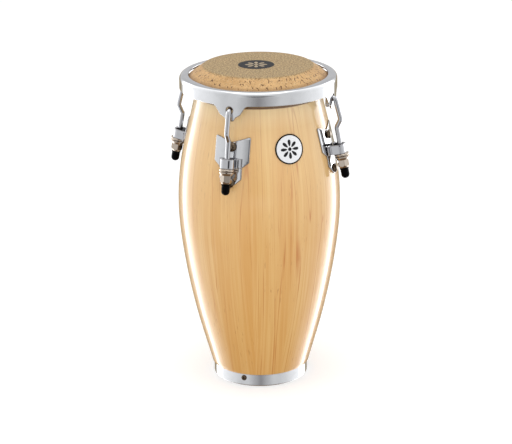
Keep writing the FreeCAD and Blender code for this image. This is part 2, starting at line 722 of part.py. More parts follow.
def make_tension_washer(name, azimuth):
    """Thick round-edged washer between strap and nut."""
    body = turned_body(name, [
        ("Size.washer_hole", "-Size.washer_thick"),
        ("Size.washer_radius", "-Size.washer_thick", "Size.washer_round"),
        ("Size.washer_radius", 0, "Size.washer_round"),
        ("Size.washer_hole", 0),
    ])
    top = size("strap_low") - size("seat_gap")
    body.Placement = upright(azimuth) * on_lug(size("rod_standoff"), top, "rod")
    return body


def make_strap(name, azimuth):
    """Sheet loop round the rod with two feet on the side plate; +X points away from the plate."""
    body = new_body(name)
    outline = new_sketch(body, "XY_Plane", f"{name}_outline")
    back = "Size.strap_foot_lift - Size.rod_standoff"
    foot_top = f"{back} + Size.strap_sheet"
    front = "Size.strap_reach - Size.rod_standoff"
    front_inside = f"{front} - Size.strap_sheet"
    inner_half = "(Size.strap_half - Size.strap_sheet)"
    inner_round = "Size.strap_round - Size.strap_sheet"
    foot_round = "Size.strap_foot_round"
    crease = "Size.strap_foot_round - Size.strap_sheet"
    half = [
        (front, "Size.strap_half", "Size.strap_round"),
        (foot_top, "Size.strap_half", crease),
        (foot_top, "Size.strap_foot"),
        (back, "Size.strap_foot"),
        (back, inner_half, foot_round),
        (front_inside, inner_half, inner_round),
    ]
    other = [(x, f"-({y})", *rest) for x, y, *rest in reversed(half)]
    draw_path(outline, half + other)
    pad = body.newObject("PartDesign::Pad", f"{name}_sheet")
    pad.Profile = outline
    pad.setExpression("Length", "Size.strap_tall")
    outline.Visibility = False
    doc.recompute()
    body.Placement = upright(azimuth) * on_lug(size("rod_standoff"), size("strap_low"), "rod")
    return body


def shell_skin(name, near, far, low, high, sector):
    """Sheet that follows the shell's outer line between two heights."""
    low_corner, high_corner = shell_corners(near)
    far_low, far_high = shell_corners(far)
    return turned_body(name, [
        (foot_line(low, near), low),
        (foot_line(low, far), low),
        far_low,
        far_high,
        (top_line(high, far), high),
        (top_line(high, near), high),
        high_corner,
        low_corner,
    ], sector)


def tilted(height, radius, tilt):
    """Sketch offset on a YZ plane: moved out and up, then leaned back."""
    return Placement(Vector(0, height, radius), Rotation(Vector(1, 0, 0), -tilt))


def make_plate(name, azimuth):
    """Side plate: notched top, straight sides, pointed tongue, two bolt holes."""
    far = "(Size.plate_gap + Size.plate_sheet)"
    body = shell_skin(name, "Size.plate_gap", far, REBATE_TOP, "Size.rim_edge", PLATE_SECTOR)
    offset = tilted(size("lug_height"), size("lug_face"), size("lug_tilt"))
    outline = new_sketch(body, "YZ_Plane", f"{name}_outline", offset)
    right = [
        ("Size.plate_half", "Size.plate_corner_up", "Size.plate_round"),
        ("Size.plate_half", "Size.plate_side_down", "Size.plate_round"),
        ("Size.plate_tongue", "Size.plate_tongue_up", "Size.plate_round"),
        ("Size.plate_tongue", "Size.plate_tongue_down", "Size.plate_tongue_round"),
    ]
    left = [(f"-{x}", y, *rest) for x, y, *rest in reversed(right)]
    tip = (0, "Size.plate_tip", "Size.plate_round")
    notch = (0, "Size.plate_notch_up", "Size.plate_round")
    draw_path(outline, [notch, *right, tip, *left])
    trim_outside(body, outline)
    for along in ("bolt_up", "bolt_down"):
        start = on_lug(size("plate_drill_start"), size(along), "bolt")
        drill(body, f"{name}_{along}", "Size.bolt_hole", "Size.plate_drill_length", start)
    body.Placement = upright(azimuth)
    return body


def make_bolt(name, azimuth, along):
    """Round-headed plate bolt; +Z points out of its head, origin on the lug plane."""
    under = "Size.bolt_head_lift"
    top = f"{under} + Size.bolt_dome"
    body = turned_body(name, [
        (0, "Size.bolt_end"),
        ("Size.bolt", "Size.bolt_end", "Size.bolt_tip_round"),
        ("Size.bolt", under),
        ("Size.bolt_head", under),
        ("Size.bolt_head", f"{under} + Size.bolt_rim", "Size.bolt_rim_round"),
        ("Size.bolt_crown", top, "Size.bolt_crown_round"),
        (0, top),
    ])
    body.Placement = upright(azimuth) * on_lug(0, size(along), "bolt")
    return body


def make_inner_washer(name, azimuth, along):
    """Flat washer on the inside of the wall."""
    body = turned_body(name, [
        ("Size.bolt_hole", "-Size.inner_washer_thick"),
        ("Size.inner_washer", "-Size.inner_washer_thick", "Size.inner_washer_round"),
        ("Size.inner_washer", 0, "Size.inner_washer_round"),
        ("Size.bolt_hole", 0),
    ])
    body.Placement = upright(azimuth) * on_lug(size("inner_washer_at"), size(along), "bolt")
    return body


def make_inner_nut(name, azimuth, along):
    """Plain hexagon nut on the inside of the wall."""
    body = new_body(name)
    outline = new_sketch(body, "XY_Plane", f"{name}_outline")
    draw_hexagon(outline, "Size.inner_nut_flats")
    draw_circle(outline, 0, 0, "Size.bolt")
    pad = body.newObject("PartDesign::Pad", f"{name}_prism")
    pad.Profile = outline
    pad.Reversed = True
    pad.setExpression("Length", "Size.inner_nut_tall")
    outline.Visibility = False
    doc.recompute()
    top = size("inner_washer_at") - size("inner_washer_thick") - size("seat_gap")
    body.Placement = upright(azimuth) * on_lug(top, size(along), "bolt")
    return body


def make_badge():
    """Round badge bent to the shell, over the front seam."""
    far = "(Size.plate_gap + Size.badge_sheet)"
    body = shell_skin("badge", "Size.plate_gap", far, REBATE_TOP, "Size.rim_edge", BADGE_SECTOR)
    offset = tilted(size("badge_height"), size("lug_face"), size("badge_tilt"))
    outline = new_sketch(body, "YZ_Plane", "badge_outline", offset)
    draw_circle(outline, 0, 0, "Size.badge_radius")
    trim_outside(body, outline)
    body.Placement = upright(0)
    return body


def group(name, pieces):
    """One node that holds several identical fasteners."""
    together = doc.addObject("Part::Compound", name)
    together.Label = name
    together.Links = pieces
    return together


# ---------------------------------------------------------------- the assembly

nodes = make_staves()
nodes += [make_foot_ring(), make_head(), make_hoop(), make_rim(), make_badge()]
ring_screws = []
for place, azimuth in enumerate(screw_azimuths(), start=1):
    ring_screws.append(make_ring_screw(f"ring_screw_{place}", azimuth))
plate_bolts = []
inner_washers = []
inner_nuts = []
for side, azimuth in LUGS.items():
    nodes.append(make_plate(f"side_plate_{side}", azimuth))
    nodes.append(make_strap(f"lug_strap_{side}", azimuth))
    nodes.append(make_hook(f"tuning_hook_{side}", azimuth))
    nodes.append(make_cap(f"end_cap_{side}", azimuth))
    nodes.append(make_tension_nut(f"tuning_nut_{side}", azimuth))
    nodes.append(make_tension_washer(f"tuning_washer_{side}", azimuth))
    for along in ("bolt_up", "bolt_down"):
        plate_bolts.append(make_bolt(f"plate_{along}_{side}", azimuth, along))
        inner_washers.append(make_inner_washer(f"washer_{along}_{side}", azimuth, along))
        inner_nuts.append(make_inner_nut(f"nut_{along}_{side}", azimuth, along))
nodes.append(group("bottom_ring_screws", ring_screws))
nodes.append(group("plate_bolts", plate_bolts))
nodes.append(group("inner_washers", inner_washers))
nodes.append(group("inner_nuts", inner_nuts))
doc.recompute()

faults = [o.Name for o in doc.Objects if {"Invalid", "Error"} & set(o.State)]
for node in nodes:
    if node.Shape.isNull() or not node.Shape.isValid() or not node.Shape.Solids:
        faults.append(node.Label)
if faults:
    raise RuntimeError(f"failed objects: {faults}")

os.makedirs("parts", exist_ok=True)
for node in nodes:
    node.Shape.exportStep(f"parts/{node.Label}.step")
    box = node.Shape.BoundBox
    print(f"{node.Label:28s} solids {len(node.Shape.Solids):2d} volume {node.Shape.Volume:10.1f}"
          f" z {box.ZMin:7.2f} {box.ZMax:7.2f}")
print(len(nodes), "nodes")
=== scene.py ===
import json
import math
import random

import bmesh
import bpy
import numpy as np
from mathutils import Matrix, Vector, noise


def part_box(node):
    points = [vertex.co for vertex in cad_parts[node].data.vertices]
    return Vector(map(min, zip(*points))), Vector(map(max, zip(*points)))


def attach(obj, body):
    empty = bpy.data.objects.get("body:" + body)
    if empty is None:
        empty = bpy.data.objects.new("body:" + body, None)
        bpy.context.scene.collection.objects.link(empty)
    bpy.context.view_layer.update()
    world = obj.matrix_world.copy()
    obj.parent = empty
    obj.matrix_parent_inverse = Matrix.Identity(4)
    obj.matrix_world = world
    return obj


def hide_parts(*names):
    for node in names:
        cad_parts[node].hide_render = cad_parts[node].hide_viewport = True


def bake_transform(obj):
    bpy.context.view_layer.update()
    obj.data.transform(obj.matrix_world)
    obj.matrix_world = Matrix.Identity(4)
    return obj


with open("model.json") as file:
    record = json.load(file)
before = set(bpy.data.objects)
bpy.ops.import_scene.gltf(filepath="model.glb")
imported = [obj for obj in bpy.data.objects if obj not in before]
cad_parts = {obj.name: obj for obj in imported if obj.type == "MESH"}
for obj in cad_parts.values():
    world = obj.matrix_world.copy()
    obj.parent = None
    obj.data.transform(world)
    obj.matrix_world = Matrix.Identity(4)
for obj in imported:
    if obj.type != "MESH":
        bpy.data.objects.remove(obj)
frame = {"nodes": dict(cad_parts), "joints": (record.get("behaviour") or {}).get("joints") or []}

# Looks of the stave-built conga drum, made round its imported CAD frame.
# Metres, +Z up, origin at the centre of the foot ring's underside, badge towards -Y.
# Lengths in the tables below are millimetres, and MM turns them into metres.
# An azimuth is measured from -Y towards +X.

MM = 0.001
TURN = 2 * math.pi
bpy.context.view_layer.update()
random.seed(12)

SIDES = ("front_left", "front_right", "back_right", "back_left")
STAVES = sorted(name for name in frame["nodes"] if name.startswith("stave_"))


# ---- reading the frame


def node_points(node):
    """Every vertex of a CAD node."""
    return [v.co.copy() for v in frame["nodes"][node].data.vertices]


def polar(radius, azimuth, height):
    """Point at a radius and azimuth about the drum's axis."""
    return Vector((radius * math.sin(azimuth), -radius * math.cos(azimuth), height))


def radius_of(point):
    """Distance from the drum's axis."""
    return math.hypot(point.x, point.y)


def azimuth_of(point):
    """Azimuth about the drum's axis."""
    return math.atan2(point.x, -point.y)


def joint(name):
    """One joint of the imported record."""
    return next(j for j in frame["joints"] if j["name"] == name)


def axes_frame(axes, origin):
    """Frame with three axes and an origin."""
    place = Matrix(axes).transposed().to_4x4()
    place.translation = origin
    return place


def facing_out(azimuth, origin):
    """Frame at a point, with +Z level and pointing away from the drum's axis."""
    place = polar(1, azimuth, 0).to_track_quat("Z", "Y").to_matrix().to_4x4()
    place.translation = origin
    return place


def lug_frame(side):
    """Out, sideways and up-the-rod axes, with the origin on the rod at the nut's flange face."""
    turn = joint(f"nut_turn_{side}")
    origin = Vector(turn["pos_m"])
    up = Vector(turn["axis"]).normalized()
    sideways = up.cross(Vector((origin.x, origin.y, 0))).normalized()
    return axes_frame((sideways.cross(up), sideways, up), origin)


def lug_azimuth(side):
    """Azimuth of a lug's rod."""
    return azimuth_of(lug_frame(side).translation)


def reach(node, place):
    """Lowest and highest corner of a CAD node in a placed frame."""
    back = place.inverted()
    spots = np.array([back @ p for p in node_points(node)])
    return Vector(spots.min(0)), Vector(spots.max(0))


WALL_FACING = 0.7


def wall_line(node, facing):
    """(height, radius) of a stave's outer (facing 1) or inner (facing -1) surface, from below."""
    mesh = frame["nodes"][node].data
    found = {}
    for face in mesh.polygons:
        middle = Vector((face.center.x, face.center.y, 0)).normalized()
        if face.normal.dot(middle) * facing < WALL_FACING:
            continue
        for index in face.vertices:
            spot = mesh.vertices[index].co
            found[round(spot.z, 5)] = radius_of(spot)
    return sorted(found.items())


def smooth_line(samples):
    """Smooth function of height through exact samples."""
    heights = np.array([s[0] for s in samples])
    radii = np.array([s[1] for s in samples])
    slopes = np.gradient(radii, heights)

    def value(height):
        """Cubic between the two nearest samples, straight past the ends."""
        if height <= heights[0]:
            return float(radii[0] + slopes[0] * (height - heights[0]))
        if height >= heights[-1]:
            return float(radii[-1] + slopes[-1] * (height - heights[-1]))
        i = int(np.searchsorted(heights, height)) - 1
        width = heights[i + 1] - heights[i]
        t = (height - heights[i]) / width
        start = (1 + 2 * t) * (1 - t) ** 2 * radii[i] + t * (1 - t) ** 2 * width * slopes[i]
        end = t * t * (3 - 2 * t) * radii[i + 1] - t * t * (1 - t) * width * slopes[i + 1]
        return float(start + end)

    return value


PLAIN_STAVE = "stave_01"
ring_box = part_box("bottom_ring")
REBATE_GAP = 0.2 * MM
REBATE_TOP = ring_box[1].z + REBATE_GAP
REBATE_EDGE = 0.5 * MM
outer_samples = [s for s in wall_line(PLAIN_STAVE, 1) if s[0] > REBATE_TOP + REBATE_EDGE]
inner_samples = wall_line(PLAIN_STAVE, -1)
outer_radius = smooth_line(outer_samples)
inner_radius = smooth_line(inner_samples)


# ---- mesh helpers

ARC_STEPS = 6
ON_AXIS = 1e-6
SHARP = math.radians(38)
CORNER = math.radians(50)


def rounded(corners, closed=True, steps=ARC_STEPS):
    """Points along straight runs through corners (x, y, radius), in millimetres in, metres out."""
    count = len(corners)
    line = []
    for i, (x, y, *rest) in enumerate(corners):
        corner = Vector((x, y)) * MM
        radius = rest[0] * MM if rest else 0
        if not radius or not (closed or 0 < i < count - 1):
            line.append(corner)
            continue
        back = (Vector(corners[i - 1][:2]) * MM - corner).normalized()
        ahead = (Vector(corners[(i + 1) % count][:2]) * MM - corner).normalized()
        half = back.angle(ahead) / 2
        run = radius / math.tan(half)
        centre = corner + (back + ahead).normalized() * (radius / math.sin(half))
        start = corner + back * run - centre
        end = corner + ahead * run - centre
        first = math.atan2(start.y, start.x)
        sweep = math.remainder(math.atan2(end.y, end.x) - first, TURN)
        for k in range(steps + 1):
            angle = first + sweep * k / steps
            line.append(centre + radius * Vector((math.cos(angle), math.sin(angle))))
    return line


def split_long(line, longest, closed=True):
    """The same line with extra points, so that no run is longer than a length."""
    made = []
    count = len(line)
    for i in range(count if closed else count - 1):
        start, end = line[i], line[(i + 1) % count]
        parts = max(1, math.ceil((end - start).length / longest))
        made += [start.lerp(end, k / parts) for k in range(parts)]
    if not closed:
        made.append(line[-1])
    return made


def between(low, high, count):
    """Evenly spaced values with both ends."""
    return [low + (high - low) * k / count for k in range(count + 1)]


def strip(bm, low, high, closed=True):
    """Faces between two rows of vertices; a row of one vertex makes a fan."""
    longest = max(len(low), len(high))
    if longest == 1:
        return
    for i in range(longest if closed else longest - 1):
        j = (i + 1) % longest
        ring = [low[i % len(low)], low[j % len(low)], high[j % len(high)], high[i % len(high)]]
        corners = list(dict.fromkeys(ring))
        bm.faces.new(corners)


def new_piece(name, bm, place=None, sharp=SHARP):
    """Finished mesh object from a bmesh, smooth except at sharp edges."""
    bmesh.ops.recalc_face_normals(bm, faces=bm.faces)
    mesh = bpy.data.meshes.new(name)
    bm.to_mesh(mesh)
    bm.free()
    if place is not None:
        mesh.transform(place)
    mesh.shade_smooth()
    mesh.set_sharp_from_angle(angle=sharp)
    piece = bpy.data.objects.new(name, mesh)
    bpy.context.scene.collection.objects.link(piece)
    return piece


def circle(radius, count):
    """Points round a circle about the origin."""
    angles = [TURN * k / count for k in range(count)]
    return [radius * Vector((math.cos(a), math.sin(a))) for a in angles]


def revolved(bm, section, columns=96):
    """Closed section (radius, height) turned about Z."""
    rows = []
    for spot in section:
        if spot.x < ON_AXIS:
            rows.append([bm.verts.new((0, 0, spot.y))])
            continue
        rows.append([bm.verts.new((p.x, p.y, spot.y)) for p in circle(spot.x, columns)])
    for low, high in zip(rows, rows[1:] + rows[:1]):
        strip(bm, low, high)
    return rows


def turned(name, corners, place=None, columns=96, steps=ARC_STEPS, longest=1.0):
    """Piece made by turning one rounded section."""
    bm = bmesh.new()
    revolved(bm, split_long(rounded(corners, steps=steps), longest), columns)
    return new_piece(name, bm, place)


def tube(bm, centres, sideways, radius_at, columns=32):
    """Skin round a centre line that lies in one plane, capped at both ends."""
    rows = []
    count = len(centres)
    for i, centre in enumerate(centres):
        ahead = (centres[min(i + 1, count - 1)] - centres[max(i - 1, 0)]).normalized()
        normal = sideways.cross(ahead)
        ring = []
        for k in range(columns):
            angle = TURN * k / columns
            spoke = normal * math.cos(angle) + sideways * math.sin(angle)
            ring.append(bm.verts.new(centre + radius_at(i, angle) * spoke))
        rows.append(ring)
    for low, high in zip(rows, rows[1:]):
        strip(bm, low, high)
    for ring, centre in ((rows[0], centres[0]), (rows[-1], centres[-1])):
        strip(bm, ring, [bm.verts.new(centre)])


def soften_edges(bm, width, angle=CORNER, segments=3):
    """Rounds every edge sharper than an angle."""
    edges = [e for e in bm.edges if len(e.link_faces) == 2 and e.calc_face_angle(0) > angle]
    bmesh.ops.bevel(bm, geom=edges, offset=width, segments=segments, profile=0.5, affect="EDGES",
                    clamp_overlap=True)


def slab(bm, outline, thickness):
    """Prism from z 0 up over a flat outline."""
    floor = bm.faces.new([bm.verts.new((p.x, p.y, 0)) for p in outline])
    lifted = bmesh.ops.extrude_face_region(bm, geom=[floor])
    up = [g for g in lifted["geom"] if isinstance(g, bmesh.types.BMVert)]
    bmesh.ops.translate(bm, verts=up, vec=(0, 0, thickness))


def slice_up(bm, axis, spacing):
    """Cuts a mesh across an axis at even steps, so that it can be bent."""
    spots = [v.co[axis] for v in bm.verts]
    low, high = min(spots), max(spots)
    count = max(1, round((high - low) / spacing))
    normal = Vector((0, 0, 0))
    normal[axis] = 1
    for k in range(1, count):
        co = Vector((0, 0, 0))
        co[axis] = low + (high - low) * k / count
        geometry = bm.verts[:] + bm.edges[:] + bm.faces[:]
        bmesh.ops.bisect_plane(bm, geom=geometry, plane_co=co, plane_no=normal, dist=1e-7)


def carve(piece, cutters):
    """Cuts the cutters' shapes out of a piece and removes them."""
    for cutter in cutters:
        cut = piece.modifiers.new("cut", "BOOLEAN")
        cut.operation = "DIFFERENCE"
        cut.solver = "EXACT"
        cut.object = cutter
    bpy.context.view_layer.update()
    graph = bpy.context.evaluated_depsgraph_get()
    carved = bpy.data.meshes.new_from_object(piece.evaluated_get(graph))
    piece.modifiers.clear()
    piece.data = carved
    carved.shade_smooth()
    carved.set_sharp_from_angle(angle=SHARP)
    for cutter in cutters:
        bpy.data.objects.remove(cutter)


def settle(piece, body, slot, material, *nodes):
    """Gives a piece its material and body, and hides the CAD nodes that it stands for; its slot is not used.
    """
    piece.data.materials.clear()
    piece.data.materials.append(material)
    if nodes:
        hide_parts(*nodes)
    if body:
        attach(piece, body)


def store(piece, name, values, kind="FLOAT"):
    """Keeps one value per vertex under a name that a material can read."""
    attribute = piece.data.attributes.new(name, kind, "POINT")
    key = "vector" if kind == "FLOAT_VECTOR" else "value"
    attribute.data.foreach_set(key, np.array(values, np.float32).ravel())


# ---- materials

WOOD_LIGHT = (0.72, 0.475, 0.20)
WOOD_PALE = (0.68, 0.42, 0.155)
WOOD_ORANGE = (0.62, 0.335, 0.098)
WOOD_AMBER = (0.58, 0.275, 0.068)
WOOD_LINE = (0.47, 0.16, 0.03)
WOOD_PORE = (0.33, 0.13, 0.035)
WOOD_SHADE = (0.09, 0.028, 0.004)

# painted light: colours added to the wood so that it grows paler up the drum, standing in for the light and
# sheen on the upper shell, and a brighter band just under the rim, standing in for light that the rim shades
# off; with the heights between which they come in
WOOD_TOP_PAINTED_LIGHT = (0.10, 0.135, 0.12)
TOP_PAINTED_LIGHT_FROM = (0.20, 0.36)
WOOD_NECK_PAINTED_LIGHT = (0.13, 0.15, 0.11)
NECK_PAINTED_LIGHT_FROM = (0.340, 0.365)

# painted shadow: the dark line that the rim casts on the wood just under its edge, and how far it takes to
# come in
UNDER_RIM = 0.3643
UNDER_RIM_BLEND = 0.6 * MM

# painted reflection and shade: brown along the metal's edges, standing in for the wood they mirror and the
# shade they sit in
EDGE_REFLECTED_BROWN = (0.09, 0.055, 0.03)
EDGE_REACH = 1.5 * MM
SOFT_EDGE = 0.25 * MM


class Wiring:
    """Short calls that add nodes to one node tree."""

    def __init__(self, tree):
        self.tree = tree

    def feed(self, socket, value):
        """Links an output to an input, or sets the input's own value."""
        if isinstance(value, bpy.types.NodeSocket):
            self.tree.links.new(value, socket)
        else:
            socket.default_value = value

    def node(self, kind, *values, **settings):
        """Adds a node of a kind and feeds its first inputs."""
        made = self.tree.nodes.new(f"ShaderNode{kind}")
        for key, value in settings.items():
            setattr(made, key, value)
        for socket, value in zip(made.inputs, values):
            self.feed(socket, value)
        return made

    def stretch(self, vector, scale):
        """Coordinates scaled along each axis."""
        return self.node("VectorMath", vector, scale, operation="MULTIPLY").outputs[0]

    def noise(self, vector, scale, detail=2.0, roughness=0.5, distortion=0.0):
        """Noise from 0 to 1."""
        node = self.node("TexNoise", vector)
        settings = {"Scale": scale, "Detail": detail, "Roughness": roughness, "Distortion": distortion}
        for key, value in settings.items():
            node.inputs[key].default_value = value
        return node.outputs["Fac"]

    def span(self, value, low, high, start=0.0, end=1.0):
        """Value from low..high moved to start..end and clamped there."""
        return self.node("MapRange", value, low, high, start, end, clamp=True).outputs[0]

    def maths(self, operation, first, second=0.0):
        """One sum."""
        return self.node("Math", first, second, operation=operation).outputs[0]

    def product(self, *values):
        """Values multiplied together."""
        made = values[0]
        for value in values[1:]:
            made = self.maths("MULTIPLY", made, value)
        return made

    def band(self, value, start, full, ending, end):
        """1 between full and ending, falling to 0 at start and end."""
        return self.product(self.span(value, start, full), self.span(value, ending, end, 1, 0))

    def mix(self, factor, first, second, blend="MIX"):
        """Mix of two colours."""
        node = self.node("Mix", data_type="RGBA", blend_type=blend)
        self.feed(node.inputs["Factor"], factor)
        for socket, value in ((node.inputs[6], first), (node.inputs[7], second)):
            self.feed(socket, value if isinstance(value, bpy.types.NodeSocket) else (*value, 1))
        return node.outputs[2]

    def layered(self, colour, *layers):
        """A colour with (share, tint) layers mixed over it in turn."""
        for share, tint in layers:
            colour = self.mix(share, colour, tint)
        return colour

    def part(self, vector, axis):
        """One coordinate of a vector."""
        return self.node("SeparateXYZ", vector).outputs[axis]

    def along(self, vector, direction):
        """How far a vector points along a direction."""
        return self.node("VectorMath", vector, direction, operation="DOT_PRODUCT").outputs["Value"]


class Finish(Wiring):
    """Node material with one Principled surface."""

    def __init__(self, name, **values):
        self.material = bpy.data.materials.new(name)
        self.material.use_nodes = True
        super().__init__(self.material.node_tree)
        self.surface = self.tree.nodes["Principled BSDF"]
        for key, value in values.items():
            self.surface.inputs[key.replace("_", " ")].default_value = value

    def drive(self, name, value):
        """Feeds one input of the surface."""
        self.feed(self.surface.inputs[name], value)

    def place(self):
        """The object's own coordinates, in metres."""
        return self.node("TexCoord").outputs["Object"]

    def stored(self, name, output="Vector"):
        """A value kept on the mesh."""
        return self.node("Attribute", attribute_name=name).outputs[output]

    def bump(self, height, distance, strength=1.0, under=None):
        """Relief of a height, in metres at full strength."""
        node = self.node("Bump")
        self.feed(node.inputs["Height"], height)
        node.inputs["Distance"].default_value = distance
        node.inputs["Strength"].default_value = strength
        if under is not None:
            self.feed(node.inputs["Normal"], under)
        return node.outputs["Normal"]


def lacquered_wood():
    """Clear-lacquered pale wood: bands, streaks, lines and pores along each stave, painted light up the drum
    and a painted shadow under the rim.
    """
    wood = Finish("lacquered_wood", Coat_Weight=1.0, Coat_Roughness=0.03, Coat_IOR=1.5, IOR=1.45,
                  Specular_IOR_Level=0.25)
    place = wood.stored("grain_place")
    tone = wood.stored("stave_tone", "Fac")

    def grain(upward, scale, *settings):
        """Noise drawn out along the stave: the smaller the upward share, the longer its marks."""
        return wood.noise(wood.stretch(place, (1, 1, upward)), scale, *settings)

    bands = grain(0.05, 46, 2, 0.45, 0.3)
    streaks = grain(0.017, 240, 4, 0.66)
    patches = grain(0.35, 40, 3, 0.55)
    rings = grain(0.03, 70, 1, 0.3, 0.2)
    breaks = grain(0.25, 60, 2, 0.5)
    fibres = grain(0.012, 800, 2, 0.6)
    pores = grain(0.09, 900, 1, 0.4)
    apart = wood.maths("ABSOLUTE", wood.maths("SUBTRACT", rings, 0.5))
    lines = wood.product(wood.span(apart, 0.002, 0.010, 1, 0), wood.span(breaks, 0.36, 0.56))
    pores = wood.product(wood.span(pores, 0.26, 0.32, 1, 0), wood.span(patches, 0.46, 0.60))
    colour = wood.layered(
        WOOD_PALE,
        (wood.span(bands, 0.36, 0.64), WOOD_ORANGE),
        (wood.span(streaks, 0.50, 0.74, 0, 0.62), WOOD_AMBER),
        (wood.span(streaks, 0.28, 0.46, 0.45, 0), WOOD_LIGHT),
        (wood.span(patches, 0.42, 0.68, 0, 0.30), WOOD_ORANGE),
        (wood.product(lines, 0.85), WOOD_LINE),
        (wood.span(fibres, 0.45, 0.66, 0, 0.42), WOOD_AMBER),
        (wood.span(tone, 0, 0.5, 0.28, 0), WOOD_ORANGE),
        (wood.span(tone, 0.5, 1, 0, 0.28), WOOD_LIGHT),
        (wood.product(pores, 0.55), WOOD_PORE),
    )
    height = wood.part(wood.place(), 2)
    # painted light: the upper wood made paler, and brighter still just under the rim
    colour = wood.mix(wood.span(height, *TOP_PAINTED_LIGHT_FROM), colour, WOOD_TOP_PAINTED_LIGHT, "ADD")
    colour = wood.mix(wood.span(height, *NECK_PAINTED_LIGHT_FROM), colour, WOOD_NECK_PAINTED_LIGHT, "ADD")
    # painted shadow of the rim: a dark band on the wood above this height
    painted_rim_shadow = wood.span(height, UNDER_RIM - UNDER_RIM_BLEND, UNDER_RIM + UNDER_RIM_BLEND, 0, 0.92)
    wood.drive("Base Color", wood.mix(painted_rim_shadow, colour, WOOD_SHADE))
    wood.drive("Roughness", wood.span(streaks, 0.2, 0.8, 0.34, 0.5))
    wood.drive("Normal", wood.bump(wood.maths("SUBTRACT", fibres, pores), 0.00001, 0.4))
    wood.drive("Coat Normal", wood.bump(wood.noise(place, 45, 1), 0.00005, 0.3))
    return wood.material


def polished_chrome(name="polished_chrome", tint=(0.62, 0.625, 0.635), haze=0.04):
    """Mirror plating with faint smears, hairline polishing marks and a painted brown reflection and shade
    along the edges.
    """
    chrome = Finish(name, Metallic=1.0)
    place = chrome.place()
    smears = chrome.noise(place, 55, 4, 0.6, 0.8)
    hairlines = chrome.noise(chrome.stretch(place, (1, 1, 14)), 900, 2, 0.5)
    worn = tuple(c * 0.93 for c in tint)
    plating = chrome.mix(chrome.span(smears, 0.42, 0.75), tint, worn)
    edges = chrome.node("AmbientOcclusion", samples=6, inside=True, only_local=True)
    chrome.feed(edges.inputs["Distance"], EDGE_REACH)
    # painted reflection and shade: edges found by occlusion turn brown
    painted_edge_reflection = chrome.span(edges.outputs["AO"], 0.45, 0.88, 0.85, 0)
    chrome.drive("Base Color", chrome.mix(painted_edge_reflection, plating, EDGE_REFLECTED_BROWN))
    chrome.drive("Roughness", chrome.span(smears, 0.35, 0.8, haze, haze + 0.07))
    softened = chrome.node("Bevel", samples=4)
    softened.inputs["Radius"].default_value = SOFT_EDGE
    relief = chrome.bump(hairlines, 0.000002, 0.3, softened.outputs[0])
    chrome.drive("Normal", relief)
    return chrome.material


def clouded(name, scale, detail, colours, gloss, relief, grit=None, **values):
    """Finish whose tone and gloss drift in clouds, under the clouds' own relief or a finer grit."""
    finish = Finish(name, **values)
    place = finish.place()
    clouds = finish.noise(place, scale, detail, 0.6)
    finish.drive("Base Color", finish.mix(clouds, *colours))
    finish.drive("Roughness", finish.span(clouds, *gloss))
    finish.drive("Normal", finish.bump(finish.noise(place, grit) if grit else clouds, *relief))
    return finish.material


def enamel(name, colour, gloss):
    """Thin hard ink or enamel with a slightly uneven tone."""
    darker = tuple(c * 0.6 for c in colour)
    return clouded(name, 700, 3, (colour, darker), (0.3, 0.7, gloss + 0.1, gloss + 0.25), (0.00001, 0.4),
                   Specular_IOR_Level=0.3)


def mottled_skin():
    """Natural skin: tan with fine mottling, follicle specks that lie along the collar, dry sheen."""
    skin = Finish("mottled_skin", Coat_Weight=0.12, Coat_Roughness=0.25, IOR=1.45, Specular_IOR_Level=0.3)
    place = skin.stored("skin_place")
    laid = skin.stored("skin_laid")
    height = skin.part(place, 2)
    top = skin.span(height, SKIN_TOP - 1.6 * MM, SKIN_TOP - 0.1 * MM)
    clouds = skin.noise(place, 42, 4, 0.6)
    mottle = skin.noise(place, 480, 4, 0.72)
    grain = skin.noise(place, 1500, 2, 0.6)
    playing = skin.mix(skin.span(mottle, 0.44, 0.56), (0.53, 0.375, 0.175), (0.17, 0.11, 0.042))
    # the collar's own warmer tone, painted brighter and more orange to stand in for the sheen it catches
    collar = skin.mix(skin.span(clouds, 0.35, 0.68), (0.66, 0.415, 0.185), (0.49, 0.28, 0.105))
    collar = skin.mix(skin.span(mottle, 0.42, 0.7, 0, 0.5), collar, (0.45, 0.235, 0.08))
    specks = skin.span(skin.noise(place, 700, 1, 0.4), 0.62, 0.68)
    flecks = skin.span(skin.noise(place, 560, 1, 0.4), 0.31, 0.38, 1, 0)
    dashes = skin.noise(skin.stretch(laid, (1, 0.5, 1)), 400, 1, 0.35)
    pores = skin.product(skin.span(dashes, 0.625, 0.66), skin.maths("SUBTRACT", 1.0, top))
    # painted shade: the skin darkens where it dives under the rim
    painted_tuck_shade = skin.span(height, RIM_TOP * MM - 3.4 * MM, RIM_TOP * MM + 1.6 * MM, 0.85, 0)
    colour = skin.layered(
        skin.mix(top, collar, playing),
        (skin.span(clouds, 0.3, 0.75, 0.0, 0.3), (0.46, 0.29, 0.13)),
        (skin.product(specks, 0.6), (0.14, 0.08, 0.035)),
        (skin.product(flecks, 0.4), (0.66, 0.52, 0.32)),
        (skin.product(pores, 0.9), (0.09, 0.035, 0.012)),
        (painted_tuck_shade, (0.17, 0.07, 0.022)),
    )
    skin.drive("Base Color", colour)
    skin.drive("Roughness", skin.span(mottle, 0.25, 0.8, 0.42, 0.62))
    coarse = skin.bump(mottle, 0.00012, 0.5)
    fine = skin.bump(grain, 0.00004, 0.5, coarse)
    skin.drive("Normal", skin.bump(skin.product(pores, -1.0), 0.0002, 0.6, fine))
    return skin.material


